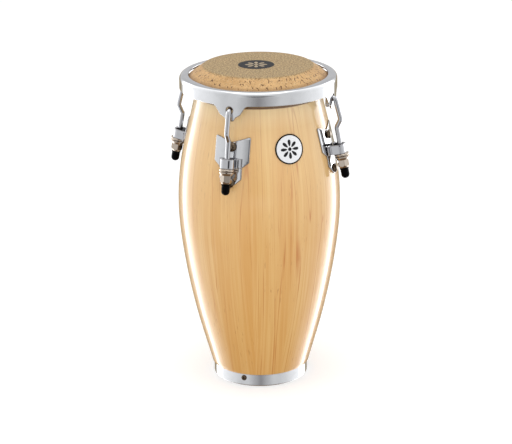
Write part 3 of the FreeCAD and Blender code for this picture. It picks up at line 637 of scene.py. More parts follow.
def silvered_face():
    """Satin silver face of the badge."""
    face = Finish("silvered_face", Metallic=0.55, Coat_Weight=0.6, Coat_Roughness=0.08)
    place = face.place()
    brushed = face.noise(face.stretch(place, (1, 1, 22)), 420, 3, 0.6)
    clouds = face.noise(place, 120, 2)
    face.drive("Base Color", face.mix(brushed, (0.86, 0.865, 0.88), (0.78, 0.785, 0.80)))
    face.drive("Roughness", face.span(clouds, 0.3, 0.7, 0.26, 0.38))
    face.drive("Normal", face.bump(brushed, 0.000006, 0.4))
    return face.material


FLOOR_GLOW = 0.24


def pale_floor():
    """Plain matt white floor."""
    ground = Finish("pale_floor")
    clouds = ground.noise(ground.place(), 3, 2)
    ground.drive("Base Color", ground.mix(clouds, (0.90, 0.90, 0.90), (0.885, 0.885, 0.885)))
    ground.drive("Roughness", ground.span(clouds, 0.3, 0.7, 0.75, 0.85))
    ground.drive("Emission Color", (1.0, 1.0, 1.0, 1.0))
    seen = ground.node("LightPath").outputs["Is Camera Ray"]
    ground.drive("Emission Strength", ground.product(seen, FLOOR_GLOW))
    return ground.material


# ---- staves

WOOD_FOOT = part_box(PLAIN_STAVE)[0].z
WOOD_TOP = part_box(PLAIN_STAVE)[1].z
BELOW_REBATE = 1 * MM
REBATE_RADIUS = max(radius_of(p) for p in node_points(PLAIN_STAVE) if p.z < REBATE_TOP - BELOW_REBATE)
COLLAR_SLOPE = math.tan(math.radians(36))
CREST_ROUND = 3.0
CREST_WIDTH = 4.5
BEVEL_DEPTH = 3.0
STAVE_ROW = 4.2 * MM
STAVE_COLUMNS = 14
SEAM_HALF = 0.22 * MM
SEAM_DEPTH = 0.012 * MM
WAVER = 0.03 * MM
WAVER_SCALE = 22
FOOT_EDGE = 0.6 * MM
BOARD_SPREAD = 9


def stave_levels():
    """Pairs of outer and inner section points (radius, height), from the foot to the crest."""
    shoulder = Vector((outer_samples[-1][1], outer_samples[-1][0]))
    crest_corner = shoulder.x - (WOOD_TOP - shoulder.y) / COLLAR_SLOPE

    def pair(outer, height, inside):
        """An outer point, and the point of the inner wall at another height."""
        return Vector((outer, height)), Vector((inner_radius(inside), inside))

    levels = [
        pair(REBATE_RADIUS, WOOD_FOOT, WOOD_FOOT),
        pair(REBATE_RADIUS, REBATE_TOP, REBATE_TOP - FOOT_EDGE),
    ]
    for degrees in (0, 30, 60, 90):
        angle = math.radians(degrees)
        height = REBATE_TOP + FOOT_EDGE * (1 - math.cos(angle))
        levels.append(pair(outer_radius(height) - FOOT_EDGE * (1 - math.sin(angle)), height, height))
    rows = round((shoulder.y - REBATE_TOP) / STAVE_ROW)
    for height in between(REBATE_TOP + FOOT_EDGE, shoulder.y, rows)[1:]:
        levels.append(pair(outer_radius(height), height, min(height, WOOD_TOP - BEVEL_DEPTH * MM)))
    crest = rounded([
        (shoulder.x / MM, shoulder.y / MM),
        (crest_corner / MM, WOOD_TOP / MM, CREST_ROUND),
        (crest_corner / MM - CREST_WIDTH, WOOD_TOP / MM),
    ], closed=False)[1:-1]
    bevel_low = levels[-1][1]
    bevel_high = Vector((crest_corner - 0.5 * CREST_WIDTH * MM, WOOD_TOP))
    for k, outer in enumerate(crest, start=1):
        levels.append((outer, bevel_low.lerp(bevel_high, k / len(crest))))
    return levels


def stave_mesh(name, middle, tone, seed):
    """One stave: outer and inner curves, flat glued sides, eased seams and its own grain."""
    half_angle = math.pi / len(STAVES)
    columns = between(-half_angle, half_angle, STAVE_COLUMNS)
    bm = bmesh.new()
    outer_rows = []
    inner_rows = []
    places = []
    for outer, inner in stave_levels():
        seam = SEAM_HALF / outer.x
        spread = [columns[0], columns[0] + seam, *columns[1:-1], columns[-1] - seam, columns[-1]]
        for spot, rows, facing in ((outer, outer_rows, 1), (inner, inner_rows, -1)):
            ring = []
            for k, offset in enumerate(spread):
                radius = spot.x
                if facing > 0 and k in (0, len(spread) - 1):
                    radius -= SEAM_DEPTH
                at = polar(radius, middle + offset, spot.y)
                if facing > 0:
                    radius += WAVER * noise.noise(at * WAVER_SCALE)
                    at = polar(radius, middle + offset, spot.y)
                ring.append(bm.verts.new(at))
                depth = outer.x - spot.x
                places.append((offset * spot.x + seed[0], depth + seed[1], spot.y + seed[2]))
            rows.append(ring)
    for rows in (outer_rows, inner_rows):
        for low, high in zip(rows, rows[1:]):
            strip(bm, low, high, closed=False)
    for side in (0, -1):
        strip(bm, [r[side] for r in outer_rows], [r[side] for r in inner_rows], closed=False)
    for end in (0, -1):
        strip(bm, outer_rows[end], inner_rows[end], closed=False)
    piece = new_piece(name, bm)
    store(piece, "grain_place", places, "FLOAT_VECTOR")
    store(piece, "stave_tone", [tone] * len(places))
    return piece


def make_staves(wood):
    """All the staves, each with its own board's tone."""
    step = TURN / len(STAVES)
    for index, node in enumerate(STAVES):
        tone = random.random()
        seed = [random.uniform(0, BOARD_SPREAD) for _ in range(3)]
        piece = stave_mesh(f"lacquered_{node}", (index + 0.5) * step, tone, seed)
        settle(piece, "shell", "wood", wood, node)


# ---- head

head_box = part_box("head_skin")
hoop_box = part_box("flesh_hoop")
SKIN_TOP = head_box[1].z
SKIN = 1.5
HOOP_WIRE = (hoop_box[1].z - hoop_box[0].z) / 2
HOOP_HEIGHT = (hoop_box[1].z + hoop_box[0].z) / 2
HOOP_RADIUS = hoop_box[1].x - HOOP_WIRE
WRAP = head_box[1].x - HOOP_RADIUS
CREASE_ROUND = 4.7
TUCK = 1.5
HEAD_COLUMNS = 192
HEAD_STEP = 2.2 * MM
HEAD_SHARP = math.radians(60)

# unevenness in millimetres: two ripples (depth, scale), a pull that grows down the collar, and the
# amount by which the whole skin lies lower for them
RIPPLES = ((0.10, 38), (0.05, 120))
RIPPLE_SHARE = 0.6
PULL = 0.16
PULL_WAVES = 9
PULL_FULL = 12 * MM
HEAD_SINK = 0.05
SPECK_RADIUS = 75 * MM


def head_section():
    """Closed section of the skin: flat, crease, collar, and the edge tucked round the hoop."""
    top = SKIN_TOP / MM
    hoop_r, hoop_z, wrap = HOOP_RADIUS / MM, HOOP_HEIGHT / MM, WRAP / MM
    slope = COLLAR_SLOPE
    lean = math.cos(math.atan(slope))
    corner = hoop_r - (top - hoop_z - wrap / lean) / slope
    inner_corner = corner - SKIN * math.tan(math.atan(slope) / 2)
    outside = hoop_r + wrap
    inside = outside - SKIN
    over = hoop_z - wrap + SKIN
    under = hoop_z - wrap
    end = hoop_r - TUCK
    return [
        (0, top - SKIN),
        (inner_corner, top - SKIN, CREASE_ROUND - SKIN),
        (inside, top - SKIN - (inside - inner_corner) * slope, wrap - SKIN),
        (inside, over, wrap - SKIN - 0.2),
        (end, over, 0.2),
        (end, under, 0.6),
        (outside, under, wrap - 0.2),
        (outside, top - (outside - corner) * slope, wrap),
        (corner, top, CREASE_ROUND),
        (0, top),
    ]


def make_head(skin):
    """The skin, a little uneven as a hide is, bent between the shell and the rim."""
    line = split_long(rounded(head_section(), steps=9), HEAD_STEP)
    bm = bmesh.new()
    rows = revolved(bm, line, HEAD_COLUMNS)
    travelled = 0.0
    laid = []
    for index, row in enumerate(rows):
        if index:
            travelled += (line[index] - line[index - 1]).length
        for vertex in row:
            laid.append((azimuth_of(vertex.co) * SPECK_RADIUS, travelled, 0))
    places = [v.co.copy() for v in bm.verts]
    for vertex in bm.verts:
        co = vertex.co
        ripple = sum(depth * noise.noise(co * scale) for depth, scale in RIPPLES) * RIPPLE_SHARE
        low = min(1.0, max(0.0, (SKIN_TOP - co.z) / PULL_FULL))
        pull = PULL * low * noise.noise(Vector((azimuth_of(co) * PULL_WAVES, 3, 0)))
        vertex.co = co + Vector((0, 0, (ripple * (1 - low) - HEAD_SINK + pull) * MM))
    piece = new_piece("mottled_head", bm, sharp=HEAD_SHARP)
    store(piece, "skin_place", places, "FLOAT_VECTOR")
    store(piece, "skin_laid", laid, "FLOAT_VECTOR")
    settle(piece, None, "skin", skin, "head_skin")
    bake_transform(piece)


# ---- rim

rim_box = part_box("tension_rim")
RIM_RADIUS = rim_box[1].x / MM
RIM_TOP = rim_box[1].z / MM
EAR_TIP = rim_box[0].z / MM
RIM_SHEET = 2.4
RIM_ROUND = 5.6
RIM_INNER_ROUND = 3.2
RIM_LIP = 84.9
RIM_LIP_ROUND = 1.1
RIM_EDGE = 372.0
RIM_EDGE_ROUND = 1.1
EAR_HOLE = 4.4
EAR_HOLE_HEIGHT = 367.2
EAR_HALF = [
    (30.0, RIM_EDGE),
    (19.5, RIM_EDGE, 6.0),
    (12.6, 361.2, 2.0),
    (7.0, 357.9, 2.0),
    (4.6, EAR_TIP, 3.8),
    (0.0, EAR_TIP),
]
EAR_FINE = 22.0
EAR_COLUMN = 0.55
PLAIN_COLUMNS = 26
SKIRT_ROWS = 16
RIM_STEPS = 8
CUT_OUTSIDE = 1.2
CUT_INSIDE = 2.2


def ear_edge():
    """Function that gives the rim's lower edge at a distance sideways from a lug."""
    line = rounded(EAR_HALF, closed=False, steps=10)
    line.sort(key=lambda p: p.x)
    aside = [p.x / MM for p in line]
    heights = [p.y / MM for p in line]

    def value(distance):
        """Height of the edge, in millimetres."""
        return float(np.interp(abs(distance), aside, heights))

    return value


def rim_offsets():
    """Column angles over one quarter, close together across the ear."""
    count = round(EAR_FINE / EAR_COLUMN)
    ear = [math.asin(EAR_FINE * k / count / RIM_RADIUS) for k in range(-count, count + 1)]
    return ear + between(ear[-1], math.pi / 2 - ear[-1], PLAIN_COLUMNS)[1:-1]


def make_rim(chrome):
    """Pressed crown with its ears as one ring of sections, then the four round holes."""
    edge = ear_edge()
    # where the outer and the inner wall of the skirt end, counting the points that each corner's arc gives
    outer_end = RIM_STEPS + 1
    inner_end = 5 * outer_end
    first = lug_azimuth("front_left")
    wall = RIM_RADIUS - RIM_SHEET
    below_lip = RIM_TOP - RIM_SHEET
    bm = bmesh.new()
    rows = []
    for quarter in range(4):
        for offset in rim_offsets():
            azimuth = first + quarter * math.pi / 2 + offset
            line = rounded([
                (RIM_RADIUS, edge(RIM_RADIUS * math.sin(offset)), RIM_EDGE_ROUND),
                (RIM_RADIUS, RIM_TOP, RIM_ROUND),
                (RIM_LIP, RIM_TOP, RIM_LIP_ROUND),
                (RIM_LIP, below_lip, RIM_LIP_ROUND),
                (wall, below_lip, RIM_INNER_ROUND),
                (wall, edge(wall * math.sin(offset)), RIM_EDGE_ROUND),
            ], steps=RIM_STEPS)
            for wall_end in (inner_end, outer_end):
                start, end = line[wall_end - 1:wall_end + 1]
                line[wall_end:wall_end] = [start.lerp(end, k) for k in between(0, 1, SKIRT_ROWS)[1:-1]]
            rows.append([bm.verts.new(polar(p.x, azimuth, p.y)) for p in line])
    for low, high in zip(rows, rows[1:] + rows[:1]):
        strip(bm, low, high)
    rim = new_piece("chromed_rim", bm)
    reach_out = RIM_RADIUS + CUT_OUTSIDE
    reach_in = wall - CUT_INSIDE
    hole = [(0, reach_in), (EAR_HOLE, reach_in), (EAR_HOLE, reach_out), (0, reach_out)]
    cutters = []
    for side in SIDES:
        place = facing_out(lug_azimuth(side), (0, 0, EAR_HOLE_HEIGHT * MM))
        cutters.append(turned(f"ear_cutter_{side}", hole, place, columns=64))
    carve(rim, cutters)
    settle(rim, "rim", "chrome", chrome, "tension_rim")


# ---- foot ring and its screws

RING_SHEET = 1.6
RING_FLANGE = 50.0
SCREW_COUNT = 3
SCREW_SECTION = [
    (0, -6.6),
    (1.0, -6.6, 0.3),
    (1.7, -5.2, 0.6),
    (1.7, 0),
    (3.5, 0, 0.25),
    (3.5, 1.8, 1.5),
    (0, 1.8),
]
SLOT_LONG = 4.6
SLOT_NARROW = 0.9
SLOT_TOP = 1.9
SLOT_FLOOR = 0.5
SLOT_TAPER = 0.45


def make_foot_ring(chrome):
    """Rolled ring with rounded edges and a flange turned in under the wood."""
    outside = ring_box[1].x / MM
    tall = ring_box[1].z / MM
    wall = outside - RING_SHEET
    ring = turned("chromed_foot_ring", [
        (RING_FLANGE, 0, 0.6),
        (outside, 0, 1.8),
        (outside, tall, 0.7),
        (wall, tall, 0.6),
        (wall, RING_SHEET, 0.8),
        (RING_FLANGE, RING_SHEET, 0.6),
    ], columns=192, longest=1.6 * MM)
    settle(ring, "shell", "chrome", chrome, "bottom_ring")


def screw_frame(azimuth):
    """Frame at a ring screw's seat, with +Z out of its head."""
    screws = node_points("bottom_ring_screws")
    height = (max(p.z for p in screws) + min(p.z for p in screws)) / 2
    return facing_out(azimuth, polar(ring_box[1].x, azimuth, height))


def make_ring_screws(chrome):
    """Domed cross-head screws round the foot ring."""
    for number in range(SCREW_COUNT):
        place = screw_frame(lug_azimuth("front_left") + TURN * number / SCREW_COUNT)
        screw = turned(f"ring_screw_{number + 1}", SCREW_SECTION, columns=64, longest=0.4 * MM)
        cutters = []
        for wide, tall in ((SLOT_LONG, SLOT_NARROW), (SLOT_NARROW, SLOT_LONG)):
            bm = bmesh.new()
            bmesh.ops.create_cube(bm, size=1)
            for vertex in bm.verts:
                taper = SLOT_TAPER if vertex.co.z < 0 else 1
                vertex.co.x *= wide * taper * MM
                vertex.co.y *= tall * taper * MM
                vertex.co.z = (SLOT_TOP if vertex.co.z > 0 else SLOT_FLOOR) * MM
            cutters.append(new_piece(f"slot_{wide}", bm))
        carve(screw, cutters)
        screw.data.transform(place)
        nodes = [] if number else ["bottom_ring_screws"]
        settle(screw, "shell", "chrome", chrome, *nodes)


# ---- sheet metal on the shell

LUG_STANDOFF = 12.3
NUT_DROP = 7.5
PLATE_GAP = 0.2
PLATE_SHEET = 1.6
PLATE_EDGE = 0.7
PLATE_HALF = [
    (22.0, 34.5, 1.8),
    (22.0, 3.4, 1.8),
    (14.0, -3.6, 1.8),
    (14.0, -17.0, 3.2),
]
PLATE_NOTCH = 26.6
PLATE_TIP = -29.5
PLATE_ROUND = 1.8
BEND_COLUMN = 2.0
BEND_ROW = 3.2
SETTLE_STEPS = 12


def plane_frame(side):
    """Lug plane: X sideways, Y up along it, Z out, with the origin where the strap stands."""
    lug = lug_frame(side)
    out = lug.col[0].to_3d()
    sideways = lug.col[1].to_3d()
    up = lug.col[2].to_3d()
    return axes_frame((sideways, up, out), lug.translation - out * LUG_STANDOFF * MM + up * NUT_DROP * MM)


def onto_shell(spot, outward, gap):
    """Slides a point along a direction until it stands a gap off the shell."""
    for _ in range(SETTLE_STEPS):
        miss = outer_radius(spot.z) + gap - radius_of(spot)
        spot = spot + outward * miss
    return spot


def lay_on_shell(bm, place):
    """Bends a flat slab (Z is its thickness) onto the shell."""
    outward = place.col[2].to_3d()
    for vertex in bm.verts:
        flat = place @ Vector((vertex.co.x, vertex.co.y, 0))
        vertex.co = onto_shell(flat, outward, PLATE_GAP * MM + vertex.co.z)


def make_side_plates(chrome):
    """Notched plates with a pointed tongue, bent to the barrel."""
    left = [(-x, y, r) for x, y, r in reversed(PLATE_HALF)]
    outline = [(0, PLATE_NOTCH, PLATE_ROUND), *PLATE_HALF, (0, PLATE_TIP, PLATE_ROUND), *left]
    for side in SIDES:
        bm = bmesh.new()
        slab(bm, rounded(outline, steps=5), PLATE_SHEET * MM)
        soften_edges(bm, PLATE_EDGE * MM)
        slice_up(bm, 0, BEND_COLUMN * MM)
        slice_up(bm, 1, BEND_ROW * MM)
        lay_on_shell(bm, plane_frame(side))
        plate = new_piece(f"bent_plate_{side}", bm)
        settle(plate, "shell", "chrome", chrome, f"side_plate_{side}")


STRAP_SHEET = 2.0
STRAP_HALF = 8.4
STRAP_FOOT = 14.0
STRAP_ROUND = 6.4
STRAP_FOOT_ROUND = 3.0
STRAP_EDGE = 0.4
STRAP_ROW = 2.4


def make_straps(chrome):
    """Sheet loops round the rods, with softened edges."""
    for side in SIDES:
        lug = lug_frame(side)
        low, high = reach(f"lug_strap_{side}", lug)
        front, back = high.x / MM, low.x / MM
        half = [
            (front, STRAP_HALF, STRAP_ROUND),
            (back + STRAP_SHEET, STRAP_HALF, STRAP_FOOT_ROUND - STRAP_SHEET),
            (back + STRAP_SHEET, STRAP_FOOT),
            (back, STRAP_FOOT),
            (back, STRAP_HALF - STRAP_SHEET, STRAP_FOOT_ROUND),
            (front - STRAP_SHEET, STRAP_HALF - STRAP_SHEET, STRAP_ROUND - STRAP_SHEET),
        ]
        other = [(x, -y, *rest) for x, y, *rest in reversed(half)]
        bm = bmesh.new()
        slab(bm, rounded(half + other, steps=10), high.z - low.z)
        soften_edges(bm, STRAP_EDGE * MM)
        slice_up(bm, 2, STRAP_ROW * MM)
        bmesh.ops.translate(bm, verts=bm.verts, vec=(0, 0, low.z))
        strap = new_piece(f"bent_strap_{side}", bm, lug)
        settle(strap, "shell", "chrome", chrome, f"lug_strap_{side}")


# ---- hooks, caps

HOOK_BEND = 5.2
HOOK_INNER_LEG = 89.4
HOOK_SHOULDER = 98.7
KINK = (105.9, 340.4)
KINK_BEND = 5.0
JOG_UP = 35.7
THREAD_PITCH = 1.0
THREAD_DEPTH = 0.30
THREAD_TOP = 14.0
THREAD_STEPS = 8
PLAIN_ROWS = 12
ROD_COLUMNS = 32
ROD_EASE = 0.02
ROD_STEP = 1.5
INNER_END = 0.72
END_CHAMFER = 0.6


def hook_line(side):
    """Centre line of a hook in its upright plane (radius, height), and where the straight rod starts."""
    azimuth = lug_azimuth(side)
    node = f"tuning_hook_{side}"
    lug = lug_frame(side)
    low, high = reach(node, lug)
    rod = (high.y - low.y) / 2
    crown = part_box(node)[1].z / MM - rod / MM
    legs = [p for p in node_points(node) if radius_of(p) < HOOK_INNER_LEG * MM + rod]
    leg_end = min(p.z for p in legs) / MM
    radial = polar(1, azimuth, 0)

    def flat(along):
        """Place on the rod's axis as (radius, height) in millimetres."""
        spot = lug @ Vector((0, 0, along))
        return spot.dot(radial) / MM, spot.z / MM

    corners = [
        (HOOK_INNER_LEG, leg_end),
        (HOOK_INNER_LEG, crown, HOOK_BEND),
        (HOOK_SHOULDER, crown, HOOK_BEND),
        (*KINK, KINK_BEND),
        (*flat(JOG_UP * MM), KINK_BEND),
        flat(low.z),
    ]
    return rounded(corners, closed=False, steps=12), rod, low.z


def make_hooks(chrome):
    """Bent rods with a rounded inner end and a rolled thread on the lower end."""
    for side in SIDES:
        azimuth = lug_azimuth(side)
        line, rod, rod_end = hook_line(side)
        radial = polar(1, azimuth, 0)
        upright = [radial * p.x + Vector((0, 0, p.y)) for p in line]
        sideways = Vector((math.cos(azimuth), math.sin(azimuth), 0))
        bent = split_long(upright[:-1], ROD_STEP * MM, closed=False)
        top, bottom = upright[-2], upright[-1]
        length = (bottom - top).length
        thread_length = THREAD_TOP * MM - rod_end
        plain = between(0, length - thread_length, PLAIN_ROWS)[1:]
        ridges = round(thread_length / MM / THREAD_PITCH * THREAD_STEPS)
        threaded = between(length - thread_length, length, ridges)[1:]
        away = (bottom - top).normalized()
        straight = [top + away * d for d in plain + threaded]
        centres = bent + straight
        started = len(bent) + len(plain)
        finished = len(centres) - 1

        def radius_at(index, angle):
            """Rod radius: rounded at the inner end, a helical groove on the threaded stretch."""
            if index == 0:
                return rod * INNER_END
            if index < started:
                return rod - ROD_EASE * MM
            turns = (index - started) / THREAD_STEPS - angle / TURN
            groove = abs(math.remainder(turns, 1)) * 2
            runout = min(1, (index - started) / (2 * THREAD_STEPS))
            chamfer = min(1, (finished - index) / THREAD_STEPS)
            depth = THREAD_DEPTH * MM * runout * min(1, max(0, groove * 1.3 - 0.15))
            return rod - ROD_EASE * MM - max(depth, (1 - chamfer) * END_CHAMFER * MM)

        bm = bmesh.new()
        tube(bm, centres, sideways, radius_at, ROD_COLUMNS)
        hook = new_piece(f"threaded_hook_{side}", bm)
        settle(hook, f"hook_{side}", "chrome", chrome, f"tuning_hook_{side}")


CAP_WALL = 0.4
CAP_DOME = 4.6
CAP_BORE = 2.95
CAP_DEPTH = 9.6
GRIP = 0.25


def make_caps(rubber):
    """Push-on rubber caps with a mouth bead, a grip groove and a domed end."""
    for side in SIDES:
        lug = lug_frame(side)
        low, high = reach(f"end_cap_{side}", lug)
        tall = (high.z - low.z) / MM
        mouth = high.y / MM
        body = mouth - CAP_WALL
        place = lug @ Matrix.Translation((0, 0, high.z))
        cap = turned(f"moulded_cap_{side}", [
            (0, -tall),
            (body - 0.15, -tall, CAP_DOME),
            (body, -3.6, 0.3),
            (body - GRIP, -3.2, 0.3),
            (body - GRIP, -2.6, 0.3),
            (body, -2.2, 0.3),
            (mouth, -1.5, 0.5),
            (mouth, 0, 0.5),
            (CAP_BORE, 0, 0.3),
            (CAP_BORE, -CAP_DEPTH),
            (0, -CAP_DEPTH),
        ], place, columns=64, longest=0.8 * MM)
        settle(cap, f"hook_{side}", "rubber", rubber, f"end_cap_{side}")


# ---- badge and printed mark

PETALS = 8
PETAL_POINTS = 24
PETAL_INNER = 0.30
PETAL_WIDTH = 0.15
PETAL_SKEW = 0.35
HUB = 0.19
FACE_EDGE = 1.0
FACE_TOP = 0.95
BEZEL = 1.75
BEZEL_LOW = 0.05
BEZEL_TOP = 1.35
MARK_RADIUS = 11.5
MARK_LOW = 0.93
MARK_THICK = 0.25


def badge_frame():
    """Plane of the badge: X sideways, Y up, Z out."""
    low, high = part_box("badge")
    middle = (low + high) / 2
    azimuth = azimuth_of(middle)
    slope = outer_radius(low.z) - outer_radius(high.z)
    tilt = math.atan2(slope, high.z - low.z)
    out = polar(math.cos(tilt), azimuth, math.sin(tilt))
    sideways = Vector((math.cos(azimuth), math.sin(azimuth), 0))
    up = out.cross(sideways)
    place = axes_frame((sideways, up, out), polar(outer_radius(middle.z), azimuth, middle.z))
    return place, (high - low).z / 2 / math.cos(tilt)


def petal_outline(inner, outer, width, azimuth):
    """Pointed leaf between two radii."""
    along = Vector((math.cos(azimuth), math.sin(azimuth)))
    aside = Vector((-along.y, along.x))
    middle, half = (inner + outer) / 2, (outer - inner) / 2
    spots = []
    for k in range(PETAL_POINTS):
        t = TURN * k / PETAL_POINTS
        swell = math.sin(t) * (1 - PETAL_SKEW * math.cos(t))
        spots.append(along * (middle - half * math.cos(t)) + aside * width * swell)
    return spots


def rosette(bm, radius, thickness):
    """Eight leaves round a small hub, as flat slabs."""
    for k in range(PETALS):
        outline = petal_outline(PETAL_INNER * radius, radius, PETAL_WIDTH * radius, TURN * k / PETALS)
        slab(bm, outline, thickness)
    slab(bm, circle(HUB * radius, 32), thickness)


def make_badge(face, bezel, ink):
    """Satin face in a raised bezel painted near black as its shade and dark reflection, with an eight-leaf
    rosette.
    """
    place, radius = badge_frame()
    radius = radius / MM
    parts = (
        ("badge_plate", face, [
            (0, 0),
            (radius - FACE_EDGE, 0),
            (radius - FACE_EDGE, FACE_TOP),
            (0, FACE_TOP),
        ]),
        ("badge_bezel", bezel, [
            (radius - BEZEL, BEZEL_LOW),
            (radius, BEZEL_LOW, 0.3),
            (radius, BEZEL_TOP, 0.6),
            (radius - BEZEL, BEZEL_TOP, 0.7),
        ]),
    )
    for name, material, section in parts:
        bm = bmesh.new()
        revolved(bm, split_long(rounded(section, steps=4), 1.6 * MM), 128)
        lay_on_shell(bm, place)
        nodes = ["badge"] if name == "badge_plate" else []
        settle(new_piece(name, bm), "shell", "badge", material, *nodes)
    bm = bmesh.new()
    rosette(bm, MARK_RADIUS * MM, MARK_THICK * MM)
    bmesh.ops.translate(bm, verts=bm.verts, vec=(0, 0, MARK_LOW * MM))
    lay_on_shell(bm, place)
    settle(new_piece("badge_rosette", bm), "shell", "badge", ink)


PRINT_RADIUS = 22.1
PRINT_MARK = 13.6
PRINT_ASIDE = -2.4
PRINT_AHEAD = 1.0
INK = 0.06
PALE_INK = 0.09
INK_SINK = 0.03


def make_print(ink, pale_ink):
    """Printed disc near the middle of the head, with the same rosette left in a pale ink."""
    right = Vector((math.cos(VIEW_AZIMUTH), math.sin(VIEW_AZIMUTH), 0))
    centre = (right * PRINT_ASIDE + polar(PRINT_AHEAD, VIEW_AZIMUTH, 0)) * MM
    for name, material, height in (("head_print", ink, INK), ("head_print_rosette", pale_ink, PALE_INK)):
        bm = bmesh.new()
        if name == "head_print":
            slab(bm, circle(PRINT_RADIUS * MM, 96), height * MM)
        else:
            rosette(bm, PRINT_MARK * MM, height * MM)
        place = Matrix.Translation(centre + Vector((0, 0, SKIN_TOP - INK_SINK * MM)))
        piece = new_piece(name, bm, place @ Matrix.Rotation(VIEW_AZIMUTH, 4, "Z"))
        settle(piece, "shell", "skin", material)


# ---- CAD nodes that are shown as they are


def dress_nodes(names, material):
    """Gives CAD nodes a better material."""
    for name in names:
        for slot in frame["nodes"][name].material_slots:
            slot.material = material


# ---- studio

VIEW_AZIMUTH = math.radians(-24.15)
VIEW_DISTANCE = 2.266
VIEW_HEIGHT = 0.966
VIEW_AIM = Vector((-0.00397, 0.00178, 0.1977))
VIEW_ROLL = math.radians(-0.539)
VIEW_LENS = 134.7


def make_camera():
    """Camera in front of the front-left lug, a little above."""
    lens = bpy.data.cameras.new("studio_camera")
    lens.lens = VIEW_LENS
    camera = bpy.data.objects.new("studio_camera", lens)
    camera.location = polar(VIEW_DISTANCE, VIEW_AZIMUTH, VIEW_HEIGHT)
    aim = (VIEW_AIM - camera.location).to_track_quat("-Z", "Y").to_matrix().to_4x4()
    camera.rotation_euler = (aim @ Matrix.Rotation(VIEW_ROLL, 4, "Z")).to_euler()
    bpy.context.scene.collection.objects.link(camera)
    bpy.context.scene.camera = camera


# name, turn off the camera's azimuth in degrees, distance, height, width, length, radiance
SOFTBOXES = (
    ("fill_left", -70, 2.6, 1.5, 1.6, 1.6, 0.76),
    ("fill_right", 65, 2.6, 1.5, 1.6, 1.6, 0.62),
    ("overhead", 0, 0.3, 2.4, 2.4, 2.4, 1.2),
    ("front_fill", 0, 2.6, 0.75, 2.6, 1.6, 1.9),
)
SOFTBOX_AIM = Vector((0, 0, 0.22))
SOFTBOX_CORE = 0.28


def softbox(name, turn, distance, height, width, tall, radiance):
    """Rectangular light at an azimuth off the camera's, aimed at the drum, fading to its edges."""
    light = bpy.data.lights.new(name, "AREA")
    light.shape = "RECTANGLE"
    light.size = width
    light.size_y = tall
    light.energy = radiance * math.pi * width * tall
    light.use_nodes = True
    wiring = Wiring(light.node_tree)
    place = wiring.node("NewGeometry").outputs["Parametric"]
    fades = []
    for axis in (0, 1):
        off = wiring.maths("ABSOLUTE", wiring.maths("SUBTRACT", wiring.part(place, axis), 0.5))
        fades.append(wiring.span(off, 0.5, SOFTBOX_CORE))
    wiring.feed(light.node_tree.nodes["Emission"].inputs["Strength"], wiring.product(*fades))
    lamp = bpy.data.objects.new(name, light)
    lamp.location = polar(distance, VIEW_AZIMUTH + math.radians(turn), height)
    aim = SOFTBOX_AIM - lamp.location
    lamp.rotation_euler = aim.to_track_quat("-Z", "Y").to_euler()
    lamp.visible_camera = False
    bpy.context.scene.collection.objects.link(lamp)
    return lamp


# The walls round the studio, as directions from the drum. A turn is in degrees off the camera's azimuth,
# a height is the upward part of a direction of length 1, and four heights are a band's start, full
# strength, last full strength and end.
WALL_FRONT, WALL_SIDE = 0.92, 1.7
WALL_TURN = (50, 125)
WALL_TINT = (0.975, 0.985, 1.0)
STRIP_LEVEL = 4.6
STRIP_RISE = (104, 133)
STRIP_FALL = (137, 143)
STRIP_HEIGHTS = (-0.9, -0.7, 0.3, 0.6)
BEHIND_TURN = (133, 153)
BEHIND_HEIGHT = (-0.15, 0.1)
BEHIND_LOW, BEHIND_HIGH = (0.42, 0.355, 0.25), (0.70, 0.70, 0.715)
CAMERA_GREY = ((1, 32), (-0.75, -0.50, -0.24, -0.14), (0.40, 0.395, 0.405))
BLACK_GAP = ((7, 26), (-0.16, -0.08, 0.14, 0.30), (0.02, 0.02, 0.025))
BELOW_TURN = (80, 105)
BELOW_HEIGHT = (-0.50, -0.75)
BELOW_BROWN = (0.26, 0.17, 0.10)
DIFFUSE_GREY = (0.80, 0.80, 0.80)
BACKDROP = (1.0, 1.0, 1.0)


